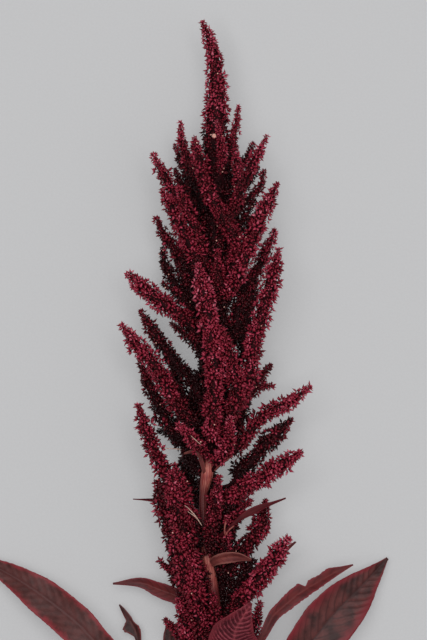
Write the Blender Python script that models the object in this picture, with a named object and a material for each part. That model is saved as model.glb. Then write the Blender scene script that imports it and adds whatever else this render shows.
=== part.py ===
"""Amaranth seed head with its stem and upper leaves, cut and laid on its back.

The plant lies along +Y, tip forward, on the plane z = 0. A ribbed stem runs up into one head
of floret spikes, and leaves spread from the stem below it. The head is a single grown piece:
the florets are raised from each spike by a rule, and the spikes are joined by a Boolean union.
Lengths below are millimetres unless a name says otherwise.
"""

import math
import random
from dataclasses import dataclass

import bmesh
import bpy
from mathutils import Matrix, Vector
from mathutils.kdtree import KDTree

MM = 0.001
SEED = 7

# Driving dimensions
STEM_TOP_Y = -28.0
CLEARANCE = 0.35
HEAD_CLEARANCE = 0.4
FLORET_PITCH = 4.75
FLORET_VALLEY = 0.64
FLORET_LEAN = 0.9
TIP_SHARE = 0.45
TAPER_LENGTH = 14.0
GIRTH_SCALE = 1.1
STALK_RADIUS = 1.5
CORE_RADIUS = 7.6
SHEATH_RADIUS = 4.4
SHEATH_DEPTH = 3.2
BACK_SPIKES = 17
FRONT_SPIKES = 4
HEAD_TRIANGLES = 9800
GOLDEN_ANGLE = math.pi * (3.0 - math.sqrt(5.0))

# Centre line of stem and rachis: x, y, height, stem radius
AXIS = (
    (3.3, -188.0, 13.0, 3.6),
    (2.7, -176.0, 15.0, 3.4),
    (1.6, -143.0, 20.0, 3.1),
    (1.0, -123.0, 23.0, 3.0),
    (-0.6, -111.0, 24.7, 2.9),
    (-2.8, -100.0, 26.2, 2.8),
    (-5.2, -77.0, 28.6, 2.5),
    (-5.2, -63.0, 29.5, 2.2),
    (-3.3, -52.0, 30.0, 3.1),
    (-1.7, -41.0, 30.0, 2.4),
    (-1.0, -28.0, 30.0, 1.9),
    (1.0, 0.0, 30.0, 1.8),
    (1.0, 44.0, 30.0, 1.6),
    (1.6, 99.0, 30.0, 1.4),
    (1.1, 132.0, 30.0, 1.2),
    (1.9, 148.0, 30.0, 1.1),
    (1.9, 166.0, 30.0, 1.0),
    (-0.6, 183.0, 30.0, 0.9),
    (-6.0, 197.0, 29.5, 0.6),
)

# Radius of the main spike over its florets, along the plant
MAIN_GIRTH = ((-46.0, 3.4), (-38.0, 5.4), (-20.0, CORE_RADIUS), (120.0, 7.4), (148.0, 6.9),
              (162.0, 5.9), (176.0, 4.7), (190.0, 3.3), (197.0, 1.8))


@dataclass(frozen=True)
class Spike:
    """A side spike: where it leaves the axis, the points it passes (x, y, height over the axis)
    and its girth. bare is the share of its length that is plain stalk."""

    name: str
    root: float
    via: tuple
    girth: float
    bare: float = 0.14
    columns: int = 6


@dataclass(frozen=True)
class Leaf:
    """A leaf: midrib points from the stem to the tip (x, y, z) and half widths along it.

    widths holds (share of the length, half width left of the way to the tip, half width right of
    it); roll turns the blade about its midrib in degrees, at the base and at the tip; fold lifts
    the blade's edges. in_head leaves pass between the spikes, which are cut clear of them.
    """

    name: str
    midrib: tuple
    widths: tuple
    roll: tuple = (0.0, 0.0)
    fold: float = 0.25
    blade: float = 0.75
    petiole: float = 1.0
    sections: int = 12
    in_head: bool = True
    rose: bool = False


SPIKES = (
    # upper part, round the foot of the terminal spike
    Spike("top_right", 113, ((9, 129, 3), (12, 137, 4), (14, 150, 4)), 3.1, columns=4),
    Spike("top_front", 106, ((5, 125, 11), (2, 141, 14)), 2.6, columns=4),
    Spike("top_left", 100, ((-14, 121, -1), (-17, 131, -2), (-18, 142, -3)), 3.3, columns=4),
    Spike("top_left_back", 97, ((-15, 118, -9), (-21, 130, -11)), 2.4, columns=4),
    Spike("front_sweep", 48, ((14, 70, 12), (5, 89, 16), (-4, 107, 16), (-10, 132, 13)), 4.0),
    Spike("front_sweep_low", 46, ((12, 77, 10), (3, 93, 13), (-3, 102, 15)), 3.2),
    Spike("front_right", 79, ((14, 99, 12), (13, 114, 14), (12, 129, 12)), 3.3),
    # right side, from the top down
    Spike("right_1", 87, ((16, 108, 4), (23, 121, 6), (29.5, 133.5, 5)), 3.6),
    Spike("right_1_back", 97, ((16, 118, -6), (22, 130, -8)), 3.3, columns=4),
    Spike("right_2_back", 90, ((18, 107, -9), (25, 118, -12)), 2.6, columns=4),
    Spike("right_2", 80, ((20, 100, 1), (26, 106, 2), (28, 115, 1)), 3.0, columns=4),
    Spike("right_3", 37, ((14, 58, 11), (21, 76, 13), (27, 91, 12), (35, 107.5, 9)), 4.6),
    Spike("right_4", 41, ((20, 54, -4), (28, 68, -6), (34, 82, -8)), 3.8, columns=4),
    Spike("right_5", -26, ((16, -8, 11), (23, 23, 15), (29, 44, 13), (36, 71, 8)), 4.8),
    Spike("right_6", -14, ((20, -5, -5), (27, 2, -7), (32, 8, -9)), 3.4, columns=4),
    Spike("right_7", -16, ((18, -8, 3), (25, -4, 3), (32, -3, 1)), 3.6, columns=4),
    # left side, from the top down
    Spike("left_1", 74, ((-16, 95, 3), (-25, 109, 3), (-33, 124, 1)), 4.0),
    Spike("left_1_back", 85, ((-6, 102, -5), (-12, 113, -7), (-20, 122, -8)), 3.1, columns=4),
    Spike("left_2", 43, ((-6, 61, 8), (-14.5, 78, 10), (-21.5, 92, 9), (-28, 104, 7)), 4.6),
    Spike("left_2_front", 54, ((-8, 77, 12), (-14, 92, 14), (-19, 105, 13)), 3.8),
    Spike("left_3_back", 49, ((-17, 67, -3), (-25.5, 78, -5), (-31.5, 89, -7)), 4.0, columns=4),
    Spike("left_4_back", 34, ((-20, 52, -9), (-26.5, 64, -12), (-28, 73, -14)), 3.4, columns=4),
    Spike("left_5", 12, ((-16, 34.5, 7), (-29, 43, 8), (-47, 58.5, 4)), 5.1),
    Spike("left_6", -16, ((-15.5, 5.5, -4), (-24, 14.5, -5), (-32, 25.5, -6), (-40, 38, -9)), 4.0,
          columns=4),
    Spike("left_6_front", 10, ((-12, 22.5, 3), (-22.5, 31, 3)), 3.2),
    Spike("left_7", -33, ((-20, -14, 7), (-31, 7, 8), (-41, 18, 7), (-50, 30, 4)), 4.6),
    Spike("left_8_back", -50, ((-19, -34, -5), (-31, -12, -9), (-40, 9, -12)), 4.2, columns=4),
    Spike("left_9", -100, ((-17, -77, 5), (-27, -50, 6), (-36, -29, 5), (-41, -14, 3)), 4.2),
    Spike("left_9_back", -56, ((-17, -41, -8), (-29, -30, -11)), 3.4, columns=4),
    Spike("left_10", -97, ((-13, -73, 9), (-17.5, -58, 9), (-21, -46.5, 8)), 4.0),
    # darker spikes between and behind the others
    Spike("right_3_back", 38, ((15, 66, -4), (21, 84, -6), (27, 97, -7)), 3.4, columns=4),
    Spike("right_5_back", -14, ((14, 16, -3), (20, 40, -5), (23, 58, -7)), 4.0, columns=4),
    Spike("right_2_low", 62, ((13, 81, 0), (19, 92, -2), (23, 99, -3)), 2.8, columns=4),
    Spike("right_5_mid", 0, ((12, 26, -1), (14, 41, -2), (15.5, 50, -4)), 4.3, columns=4),
    Spike("right_8_back", -45, ((12, -26, -4), (17, -17, -6), (20, -10, -8)), 4.4, columns=4),
    Spike("left_1_low", 78, ((-12, 97, -2), (-18, 109, -2), (-21, 116, -4)), 2.9, columns=4),
    Spike("left_4", 28, ((-9, 48, -1), (-14, 62, -2), (-18, 74, -3)), 3.7, columns=4),
    Spike("left_3_low", 30, ((-13, 49, -4), (-18, 61, -5), (-22, 69, -7)), 3.2, columns=4),
    Spike("left_5_back", 21, ((-12, 39, -2), (-20, 48, -3), (-27, 53, -5)), 3.5, columns=4),
    Spike("left_7_back", -45, ((-13, -20, -4), (-20, -6, -6), (-26, 4, -8)), 4.2, columns=4),
    Spike("top_left_low", 96, ((-8, 116, 3), (-11, 129, 4)), 3.4, columns=4),
    Spike("top_right_low", 96, ((8, 116, -2), (11, 131, -3)), 3.4, columns=4),
    Spike("low_right_3_back", -94, ((3, -77, -5), (8, -64, -6), (14, -54, -7)), 4.2, columns=4),
    Spike("low_right_6_back", -148, ((8, -129, -1), (14, -114, -1), (22, -100, -2)), 5.0, columns=4),
    # columns that face the light
    Spike("front_column", -45, ((0, -20, 15), (1, 8, 18), (-3, 38, 18), (-8, 63, 15)), 4.9),
    Spike("front_right_column", -34, ((13, -11, 15), (10, 9, 18), (5, 28, 18)), 4.2),
    Spike("front_left_tuft", -45, ((-11, -32, 14), (-19, -24, 15)), 3.6),
    Spike("front_right_tuft", -55, ((8, -35, 12), (9, -20, 14)), 3.6),
    # lower right sprays
    Spike("low_right_1", -54, ((15, -35, 3), (27, -20, 5), (40, -13, 4), (53, -4, 2)), 4.0),
    Spike("low_right_2", -62, ((19, -45.5, -5), (31, -34, -7), (43, -22.5, -9)), 4.8, columns=4),
    Spike("low_right_3", -81, ((13, -62, 5), (30, -51, 6), (48.5, -39.5, 4)), 5.0),
    Spike("low_right_4", -99, ((7, -85, 1), (13, -74, 2), (20, -66, 1)), 3.4),
    Spike("stem_right_tuft", -110, ((5, -100, 0), (7, -90, 6), (8, -75, 8)), 2.7, columns=4),
    Spike("stem_right_back", -108, ((6, -94, -7), (12, -81, -9)), 3.1, columns=4),
    Spike("stem_front_tuft", -99, ((-1, -89, 7), (0, -75, 9), (2, -62, 9), (3.5, -53, 8)), 3.6, columns=4),
    Spike("stem_foot_tuft", -150, ((1, -141, 8), (1, -130, 9), (0, -118, 8)), 3.6, columns=4),
    Spike("low_right_5", -117, ((17, -94, -3), (26, -81, -4), (29, -67, -6)), 4.8, columns=4),
    Spike("low_right_6", -144, ((16, -121, 6), (29, -105, 7), (41, -87, 4)), 5.2),
    Spike("low_right_7", -163, ((13, -150, -1), (22, -139, -1), (26, -124, -2)), 3.4, columns=4),
    Spike("low_right_8", -166, ((15, -153, -2), (24, -146, -2), (30, -137, -3)), 3.3, columns=4),
    # dense column on the lower left
    Spike("low_left_1", -122, ((-13, -95, 9), (-20, -66, 11), (-23, -50, 11)), 4.9),
    Spike("low_left_2", -122, ((-17, -99, 1), (-26, -74, 0), (-31, -56, -2)), 4.7),
    Spike("low_left_3", -139, ((-12, -117, 10), (-18, -95, 12), (-20, -77, 11)), 4.6),
    Spike("low_left_4", -142, ((-13, -118, -1), (-22, -107, -1), (-29, -100.5, -2)), 3.3, columns=4),
    Spike("low_left_5", -146, ((-13, -124, -1), (-19, -106, -2), (-23, -91, -4)), 4.5, columns=4),
    Spike("low_left_6", -166, ((-9, -153, 2), (-17, -143, 2), (-26, -133, 0)), 3.4),
    Spike("low_left_7", -166, ((-6, -143, 9), (-9, -121, 11), (-12, -99, 11)), 4.5),
    Spike("low_left_8", -177, ((-7, -158, 6), (-14, -139, 7), (-19, -121, 6)), 4.3),
)

# The spike whose flat underside carries the reference point, under the axis
REST_SPIKE = Spike("rest", -46, ((0, -30, -17), (0, -10, -28), (0, 16, -30)), 5.0, columns=6)

# Half width of the head along the plant, which the spikes on its underside stay within
UNDERSIDE_SPREAD = ((-150.0, 15.0), (-100.0, 22.0), (-40.0, 26.0), (30.0, 26.0), (90.0, 18.0),
                    (130.0, 10.0))

LEAVES = (
    Leaf("leaf_curled",
         ((-4, -54, 30), (-6, -46, 35), (-8, -41, 37), (-12, -39.5, 37), (-16, -40.5, 36)),
         ((0, 1.1, 1.1), (0.4, 1.1, 1.1), (0.75, 1.2, 1.2), (1, 0.3, 0.3)),
         fold=0.5, petiole=0.9, sections=9),
    Leaf("leaf_left_thin",
         ((-5, -74, 28.5), (-16, -70, 21), (-30, -66.5, 19.5), (-44, -65.5, 19.5)),
         ((0, 0.9, 0.9), (0.35, 1.2, 1.2), (0.6, 2.4, 2.4), (0.85, 1.6, 1.6), (1, 0.4, 0.4)),
         roll=(50, 60), fold=0.3, sections=7),
    Leaf("leaf_right_small",
         ((-3, -91, 27), (6, -84, 35), (15, -76, 37), (25, -70.5, 37), (32, -68, 36),
          (40, -65, 35)),
         ((0, 0.9, 0.9), (0.35, 1.1, 1.1), (0.5, 1.9, 1.7), (0.66, 2.0, 2.0), (0.78, 1.1, 1.0),
          (1, 0.4, 0.4)),
         roll=(0, 10), sections=11),
    Leaf("leaf_front_small",
         ((-2, -102, 26), (3, -98.5, 33), (12, -97, 35), (21, -99, 33)),
         ((0, 1.4, 1.4), (0.3, 3.0, 3.0), (0.6, 3.7, 3.7), (0.85, 2.4, 2.4), (1, 0.4, 0.4)),
         roll=(0, 20), sections=10, in_head=False, rose=True),
    Leaf("leaf_left_mid",
         ((0, -126, 22.5), (-8, -123, 14), (-19, -119, 11), (-30, -115, 11), (-40, -111.5, 11),
          (-55, -112, 9)),
         ((0, 1.1, 1.1), (0.2, 1.4, 1.4), (0.4, 4.6, 4.4), (0.55, 4.6, 4.2), (0.8, 2.2, 2.6),
          (1, 0.4, 0.4)),
         roll=(0, 6), sections=10),
    Leaf("leaf_left_torn",
         ((0, -170, 15.5), (-20, -165, 8), (-34, -155, 6), (-40.2, -146, 6), (-42, -139.5, 6),
          (-44.5, -134, 6), (-47.5, -129, 6), (-51.5, -123.5, 6)),
         ((0, 1.1, 1.1), (0.5, 1.2, 1.2), (0.68, 1.4, 1.4), (0.76, 5.2, 2.5), (0.80, 5.6, 3.2),
          (0.84, 2.8, 3.8), (0.9, 2.2, 3.2), (0.96, 1.6, 2.2), (1, 0.5, 0.5)),
         roll=(0, -8), sections=17),
    Leaf("leaf_left_large",
         ((2, -180, 14), (-14, -177, 17.5), (-35, -168, 20), (-62, -146.5, 19), (-75, -133.5, 17),
          (-96, -117.2, 13), (-117, -104.2, 8), (-140, -94, 4)),
         ((0, 1.3, 1.3), (0.2, 1.6, 1.6), (0.27, 3.0, 3.0), (0.42, 10.5, 10.5), (0.54, 11.5, 11.0),
          (0.69, 10.0, 9.5), (0.84, 4.4, 4.4), (0.93, 1.9, 1.9), (1, 0.4, 0.4)),
         roll=(0, 8), sections=17, in_head=False),
    Leaf("leaf_right_torn",
         ((4, -170, 16), (14, -160, 22), (22, -150, 25), (28, -140, 26), (33, -130, 26),
          (40, -123.5, 26), (48, -117, 24), (58, -111, 21), (67, -106, 18), (77, -101.6, 15)),
         ((0, 1.2, 1.2), (0.26, 1.4, 1.4), (0.38, 2.2, 2.2), (0.49, 3.0, 3.2), (0.58, 4.2, 3.8),
          (0.66, 4.8, 4.2), (0.695, 4.8, 4.2), (0.72, 1.4, 4.0), (0.75, 3.6, 3.8), (0.81, 3.2, 3.2),
          (0.87, 4.0, 2.6), (0.93, 1.9, 1.6), (1, 0.4, 0.4)),
         roll=(0, -5), sections=24, in_head=False),
    Leaf("leaf_right_large",
         ((4, -183, 14), (20, -176, 16), (40, -160, 17), (56, -142, 16), (63, -133, 15),
          (71, -124, 14), (80, -115, 11), (96, -98, 5)),
         ((0, 1.3, 1.3), (0.2, 1.7, 1.7), (0.34, 8.6, 9.0), (0.45, 12.4, 13.0), (0.53, 14.0, 14.8),
          (0.62, 14.4, 15.2), (0.72, 13.2, 13.8), (0.81, 10.2, 10.4), (0.9, 5.6, 5.8),
          (0.96, 2.4, 2.6), (1, 0.4, 0.4)),
         roll=(0, 6), sections=17, in_head=False),
    Leaf("leaf_right_back",
         ((1, -136, 21), (10, -127, 13), (20, -114, 11), (30, -101.5, 12), (38, -95, 13),
          (45.5, -89, 14)),
         ((0, 1.1, 1.1), (0.25, 1.4, 1.4), (0.5, 4.4, 4.4), (0.7, 4.6, 4.6), (0.86, 1.6, 1.6),
          (1, 0.4, 0.4)),
         sections=9),
    Leaf("leaf_front_large",
         ((3, -180, 14.5), (5, -174, 21), (8, -160, 29), (11, -145, 38), (12.5, -135, 45),
          (15.5, -129, 50), (20.5, -119, 54)),
         ((0, 1.3, 1.3), (0.18, 1.7, 1.7), (0.36, 9.0, 9.0), (0.5, 13.5, 13.5), (0.66, 14.0, 14.0),
          (0.78, 12.0, 11.0), (0.88, 7.4, 5.6), (0.95, 3.0, 2.2), (1, 0.4, 0.4)),
         roll=(0, 4), fold=0.2, sections=16, in_head=False, rose=True),
    Leaf("leaf_left_back",
         ((2, -164, 16.8), (-8, -164, 9), (-17, -157, 5), (-22.5, -147, 4.5), (-24, -135, 4.5)),
         ((0, 1.1, 1.1), (0.35, 1.4, 1.4), (0.6, 4.0, 4.0), (0.88, 4.2, 4.2), (1, 1.8, 1.8)),
         sections=8),
)


def clear_scene():
    """Remove every object that the scene starts with."""
    for obj in list(bpy.data.objects):
        bpy.data.objects.remove(obj, do_unlink=True)


def make_collection(name):
    """Add a collection to the scene."""
    coll = bpy.data.collections.new(name)
    bpy.context.scene.collection.children.link(coll)
    return coll


def make_material(name, colour, roughness):
    """Principled material from a linear RGB colour."""
    mat = bpy.data.materials.new(name)
    mat.use_nodes = True
    bsdf = mat.node_tree.nodes["Principled BSDF"]
    bsdf.inputs["Base Color"].default_value = (*colour, 1.0)
    bsdf.inputs["Roughness"].default_value = roughness
    bsdf.inputs["Metallic"].default_value = 0.0
    mat.diffuse_color = (*colour, 1.0)
    return mat


def blend(table, at):
    """Read a table of (position, value...) rows at a position, eased between its rows."""
    if at <= table[0][0]:
        return table[0][1:]
    for low, high in zip(table, table[1:]):
        if at <= high[0]:
            share = (at - low[0]) / (high[0] - low[0])
            share = share * share * (3.0 - 2.0 * share)
            return tuple(a + (b - a) * share for a, b in zip(low[1:], high[1:]))
    return table[-1][1:]


def axis_at(y):
    """Point of the plant's axis at a place along it, and the stem's radius there."""
    rows = AXIS
    if y <= rows[0][1]:
        return Vector(rows[0][:3]), rows[0][3]
    for low, high in zip(rows, rows[1:]):
        if y <= high[1]:
            share = (y - low[1]) / (high[1] - low[1])
            point = Vector(low[:3]).lerp(Vector(high[:3]), share)
            return point, low[3] + (high[3] - low[3]) * share
    return Vector(rows[-1][:3]), rows[-1][3]


def smooth_path(points, step):
    """Even points along a smooth curve through the given ones."""
    pts = [Vector(p) for p in points]
    pts = [pts[0] * 2.0 - pts[1]] + pts + [pts[-1] * 2.0 - pts[-2]]
    dense = []
    for a, b, c, d in zip(pts, pts[1:], pts[2:], pts[3:]):
        for k in range(24):
            t = k / 24.0
            dense.append(0.5 * ((2.0 * b) + (c - a) * t + (2.0 * a - 5.0 * b + 4.0 * c - d) * t * t
                                + (3.0 * b - a - 3.0 * c + d) * t ** 3))
    dense.append(pts[-2].copy())
    reach = [0.0]
    for a, b in zip(dense, dense[1:]):
        reach.append(reach[-1] + (b - a).length)
    count = max(3, round(reach[-1] / step))
    path, k = [], 0
    for i in range(count + 1):
        want = reach[-1] * i / count
        while k < len(dense) - 2 and reach[k + 1] < want:
            k += 1
        span = max(reach[k + 1] - reach[k], 1e-9)
        path.append(dense[k].lerp(dense[k + 1], min(1.0, (want - reach[k]) / span)))
    return path


def frames_along(path, up=Vector((0.0, 0.0, 1.0))):
    """Tangent, side and up at each point of a path, turned as little as possible."""
    tangents = []
    for i in range(len(path)):
        a, b = path[max(0, i - 1)], path[min(len(path) - 1, i + 1)]
        tangents.append((b - a).normalized())
    frames = []
    normal = up - tangents[0] * up.dot(tangents[0])
    if normal.length < 0.1:
        normal = Vector((1.0, 0.0, 0.0)) - tangents[0] * tangents[0].x
    normal.normalize()
    for tangent in tangents:
        normal = (normal - tangent * normal.dot(tangent)).normalized()
        frames.append((tangent, normal.cross(tangent).normalized(), normal.copy()))
    return frames


def mesh_object(name, bm, collection, material):
    """Turn a bmesh in millimetres into an object in metres with a closed, outward mesh."""
    bmesh.ops.scale(bm, vec=(MM, MM, MM), verts=bm.verts)
    bmesh.ops.recalc_face_normals(bm, faces=bm.faces)
    mesh = bpy.data.meshes.new(name)
    bm.to_mesh(mesh)
    bm.free()
    mesh.materials.append(material)
    mesh.shade_smooth()
    obj = bpy.data.objects.new(name, mesh)
    collection.objects.link(obj)
    return obj


def join_rings(bm, rings, flip_rule):
    """Skin a row of rings with triangles and close both ends with a fan."""
    count = len(rings[0])
    for j, (low, high) in enumerate(zip(rings, rings[1:])):
        for i in range(count):
            k = (i + 1) % count
            if flip_rule(i, j):
                bm.faces.new((low[i], low[k], high[i]))
                bm.faces.new((low[k], high[k], high[i]))
            else:
                bm.faces.new((low[i], low[k], high[k]))
                bm.faces.new((low[i], high[k], high[i]))
    for ring, outward in ((rings[0], -1), (rings[-1], 1)):
        centre = bm.verts.new(sum((v.co for v in ring), Vector()) / count)
        for i in range(count):
            pair = (ring[i], ring[(i + 1) % count])
            bm.faces.new((*pair, centre) if outward > 0 else (pair[1], pair[0], centre))


def floret_spike(name, path, girth_at, columns, collection, material, bare=0.0):
    """A spike whose florets stand out in a staggered lattice of pyramids.

    Every other point of every ring is a floret's tip and the rest are the valleys between, and
    the next ring is staggered by one. The first share of the spike, bare, is its plain stalk.
    """
    rng = random.Random(f"{SEED}-{name}")
    bm = bmesh.new()
    frames = frames_along(path)
    rings = []
    turn = rng.uniform(0.0, math.tau)
    last = len(path) - 1
    for j, (point, (tangent, side, up)) in enumerate(zip(path, frames)):
        share = j / last
        ring = []
        for i in range(columns):
            angle = turn + math.tau * i / columns
            if share < bare:
                radius, lean = STALK_RADIUS, 0.0
            else:
                girth = girth_at(share) * GIRTH_SCALE
                tip = (i + j) % 2 == 0
                radius = girth * rng.uniform(0.93, 1.08) if tip else girth * FLORET_VALLEY
                lean = FLORET_LEAN if tip and j < last else 0.0
                angle += rng.uniform(-0.12, 0.12)
            direction = side * math.cos(angle) + up * math.sin(angle)
            ring.append(bm.verts.new(point + direction * radius + tangent * lean))
        turn += 0.16
        rings.append(ring)
    join_rings(bm, rings, lambda i, j: (i + j) % 2 == 0)
    return mesh_object(name, bm, collection, material)


def spike_girth(girth, length):
    """Radius over the florets of a side spike: slim tip, full middle, a little less at its foot."""
    def at(share):
        from_tip = (1.0 - share) * length
        rise = min(1.0, from_tip / min(TAPER_LENGTH, 0.5 * length))
        rise = rise * rise * (3.0 - 2.0 * rise)
        foot = 0.86 + 0.14 * min(1.0, share / 0.35)
        return girth * (TIP_SHARE + (1.0 - TIP_SHARE) * rise) * foot
    return at


def spike_path(spike):
    """Points of a side spike from its root inside the axis to its tip."""
    root, _ = axis_at(spike.root)
    if spike.root < MAIN_GIRTH[0][0]:
        root.z -= SHEATH_DEPTH * 0.8
    points = [root]
    for x, y, over in spike.via:
        points.append(Vector((x, y, axis_at(y)[0].z + over)))
    for point in points:
        point.z = max(point.z, spike.girth * 0.55)
    return points


def underside_spikes():
    """Spikes below the axis, by the golden angle: most bend to lie along the surface."""
    rng = random.Random(SEED)
    spikes = []
    for k in range(BACK_SPIKES):
        share = (k + 0.5) / BACK_SPIKES
        root = 84.0 - 232.0 * share
        sweep = (k * GOLDEN_ANGLE) % math.tau / math.tau
        across = math.radians(206.0 + 128.0 * sweep)
        reach = blend(UNDERSIDE_SPREAD, root)[0]
        depth = 1.0 if k % 3 else 0.55
        advance = rng.uniform(46.0, 54.0)
        x0 = axis_at(root)[0].x
        points = []
        for out, down, ahead in ((0.42, 0.52, 0.24), (0.8, 0.97, 0.6), (1.0, 1.0, 1.0)):
            x = x0 + math.cos(across) * reach * out
            drop = -axis_at(root)[0].z * depth * down * rng.uniform(0.97, 1.03)
            points.append((x, root + advance * ahead, drop))
        spikes.append(Spike(f"underside_{k}", root, tuple(points), rng.uniform(4.0, 4.8), columns=4))
    return spikes


def upper_spikes():
    """Short spikes that cover the axis on the side away from the surface."""
    rng = random.Random(SEED + 1)
    spikes = []
    for k in range(FRONT_SPIKES):
        root = 78.0 - 100.0 * (k + 0.5) / FRONT_SPIKES
        across = math.radians(62.0 + 56.0 * ((k * GOLDEN_ANGLE) % math.tau) / math.tau)
        reach = rng.uniform(10.0, 12.5)
        x0 = axis_at(root)[0].x
        side, rise = math.cos(across) * reach, math.sin(across) * reach
        points = tuple((x0 + side * part, root + 30.0 * ahead, rise * part)
                       for part, ahead in ((0.75, 0.4), (1.0, 1.0)))
        spikes.append(Spike(f"upper_{k}", root, points, rng.uniform(3.4, 4.0)))
    return spikes


def build_stem(collection, material, name="stem", grow=0.0):
    """The ribbed stem from its cut end to where the head hides it; grow widens it as a cutter."""
    rows = [row for row in AXIS if row[1] <= STEM_TOP_Y]
    path = smooth_path([row[:3] for row in rows], 9.0 if not grow else 13.0)
    if grow:
        lead = (path[1] - path[0]).normalized()
        path[0] = path[0] - lead * 2.0
        path[-1] = path[-1] + (path[-1] - path[-2]).normalized() * grow
    bm = bmesh.new()
    rings = []
    for point, (tangent, side, up) in zip(path, frames_along(path)):
        radius = axis_at(point.y)[1] + grow
        ring = []
        sides = 6 if grow else 12
        for i in range(sides):
            angle = math.tau * i / sides
            rib = 1.0 / math.cos(math.pi / sides) if grow else (1.0 if i % 2 == 0 else 0.92)
            spoke = side * math.cos(angle) + up * math.sin(angle)
            ring.append(bm.verts.new(point + spoke * radius * rib))
        rings.append(ring)
    join_rings(bm, rings, lambda i, j: i % 2 == 0)
    return mesh_object(name, bm, collection, material)


def build_leaf(leaf, collection, material, name=None, grow=0.0):
    """A leaf as one closed loft: a round petiole that spreads into a thin, folded blade.

    Both faces carry the same points across, so they are split into triangles alike.
    grow thickens and widens the leaf for use as a cutter.
    """
    path = smooth_path(leaf.midrib, 1.0)
    picks = [round((len(path) - 1) * k / leaf.sections) for k in range(leaf.sections + 1)]
    path = [path[k] for k in picks]
    bm = bmesh.new()
    rings = []
    for k, (point, (tangent, side, up)) in enumerate(zip(path, frames_along(path))):
        share = k / leaf.sections
        left, right = blend(leaf.widths, share)
        roll = math.radians(leaf.roll[0] + (leaf.roll[1] - leaf.roll[0]) * share)
        turn = Matrix.Rotation(roll, 3, tangent)
        across, face = turn @ side, turn @ up
        spread = min(1.0, max(0.0, (max(left, right) - 1.2) / 2.4))
        upper, lower = [], []
        for u in (-1.0, -0.55, 0.0, 0.55, 1.0):
            half = (left if u > 0.0 else right) + grow
            lift = leaf.fold * abs(u) ** 1.4 * half * spread
            thick = leaf.petiole * (1.0 - 0.45 * abs(u)) * (1.0 - spread) + leaf.blade * 0.5 * spread
            rib = 0.45 * spread * (1.0 if u == 0.0 else 0.0) * (1.0 - share)
            base = point + across * (u * half) + face * lift
            upper.append(bm.verts.new(base + face * (thick + grow)))
            lower.append(bm.verts.new(base - face * (thick + rib + grow)))
        rings.append(upper + lower[::-1])
    if grow:
        for ring, away in ((rings[0], path[0] - path[1]), (rings[-1], path[-1] - path[-2])):
            for vert in ring:
                vert.co += away.normalized() * grow
    count = len(rings[0])
    join_rings(bm, rings, lambda i, j: i < count // 2)
    return mesh_object(name or leaf.name, bm, collection, material)


def apply_boolean(obj, operation, collection, solver="MANIFOLD"):
    """Boolean an object with a whole collection, apply it, and remove the collection's objects."""
    mod = obj.modifiers.new(operation.title(), "BOOLEAN")
    mod.operation = operation
    mod.operand_type = "COLLECTION"
    mod.collection = collection
    mod.solver = solver
    bpy.context.view_layer.update()
    mesh = bpy.data.meshes.new_from_object(obj.evaluated_get(bpy.context.evaluated_depsgraph_get()))
    old = obj.data
    obj.modifiers.clear()
    obj.data = mesh
    bpy.data.meshes.remove(old)
    for other in list(collection.objects):
        bpy.data.objects.remove(other, do_unlink=True)


def thin_out(obj, florets, target):
    """Collapse the small edges that the union leaves where spikes meet, and keep the florets."""
    group = obj.vertex_groups.new(name="seams")
    for vert in obj.data.vertices:
        seam = florets.find(vert.co)[2] > 1e-6
        group.add([vert.index], 1.0 if seam else 0.02, "REPLACE")
    obj.data.calc_loop_triangles()
    mod = obj.modifiers.new("Decimate", "DECIMATE")
    mod.ratio = min(1.0, target / len(obj.data.loop_triangles))
    mod.vertex_group = group.name
    mod.vertex_group_factor = 1000.0
    mod.use_collapse_triangulate = True
    bpy.context.view_layer.update()
    mesh = bpy.data.meshes.new_from_object(obj.evaluated_get(bpy.context.evaluated_depsgraph_get()))
    old = obj.data
    obj.modifiers.clear()
    obj.data = mesh
    bpy.data.meshes.remove(old)
    obj.vertex_groups.clear()


def keep_largest(obj):
    """Drop the loose scraps that a cut leaves beside the main body."""
    bm = bmesh.new()
    bm.from_mesh(obj.data)
    bm.verts.ensure_lookup_table()
    seen, best = set(), []
    for start in bm.verts:
        if start.index in seen:
            continue
        group, queue = [], [start]
        seen.add(start.index)
        while queue:
            vert = queue.pop()
            group.append(vert)
            for edge in vert.link_edges:
                other = edge.other_vert(vert)
                if other.index not in seen:
                    seen.add(other.index)
                    queue.append(other)
        if len(group) > len(best):
            best = group
    keep = {vert.index for vert in best}
    bmesh.ops.delete(bm, geom=[v for v in bm.verts if v.index not in keep], context="VERTS")
    bm.to_mesh(obj.data)
    bm.free()


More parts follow.
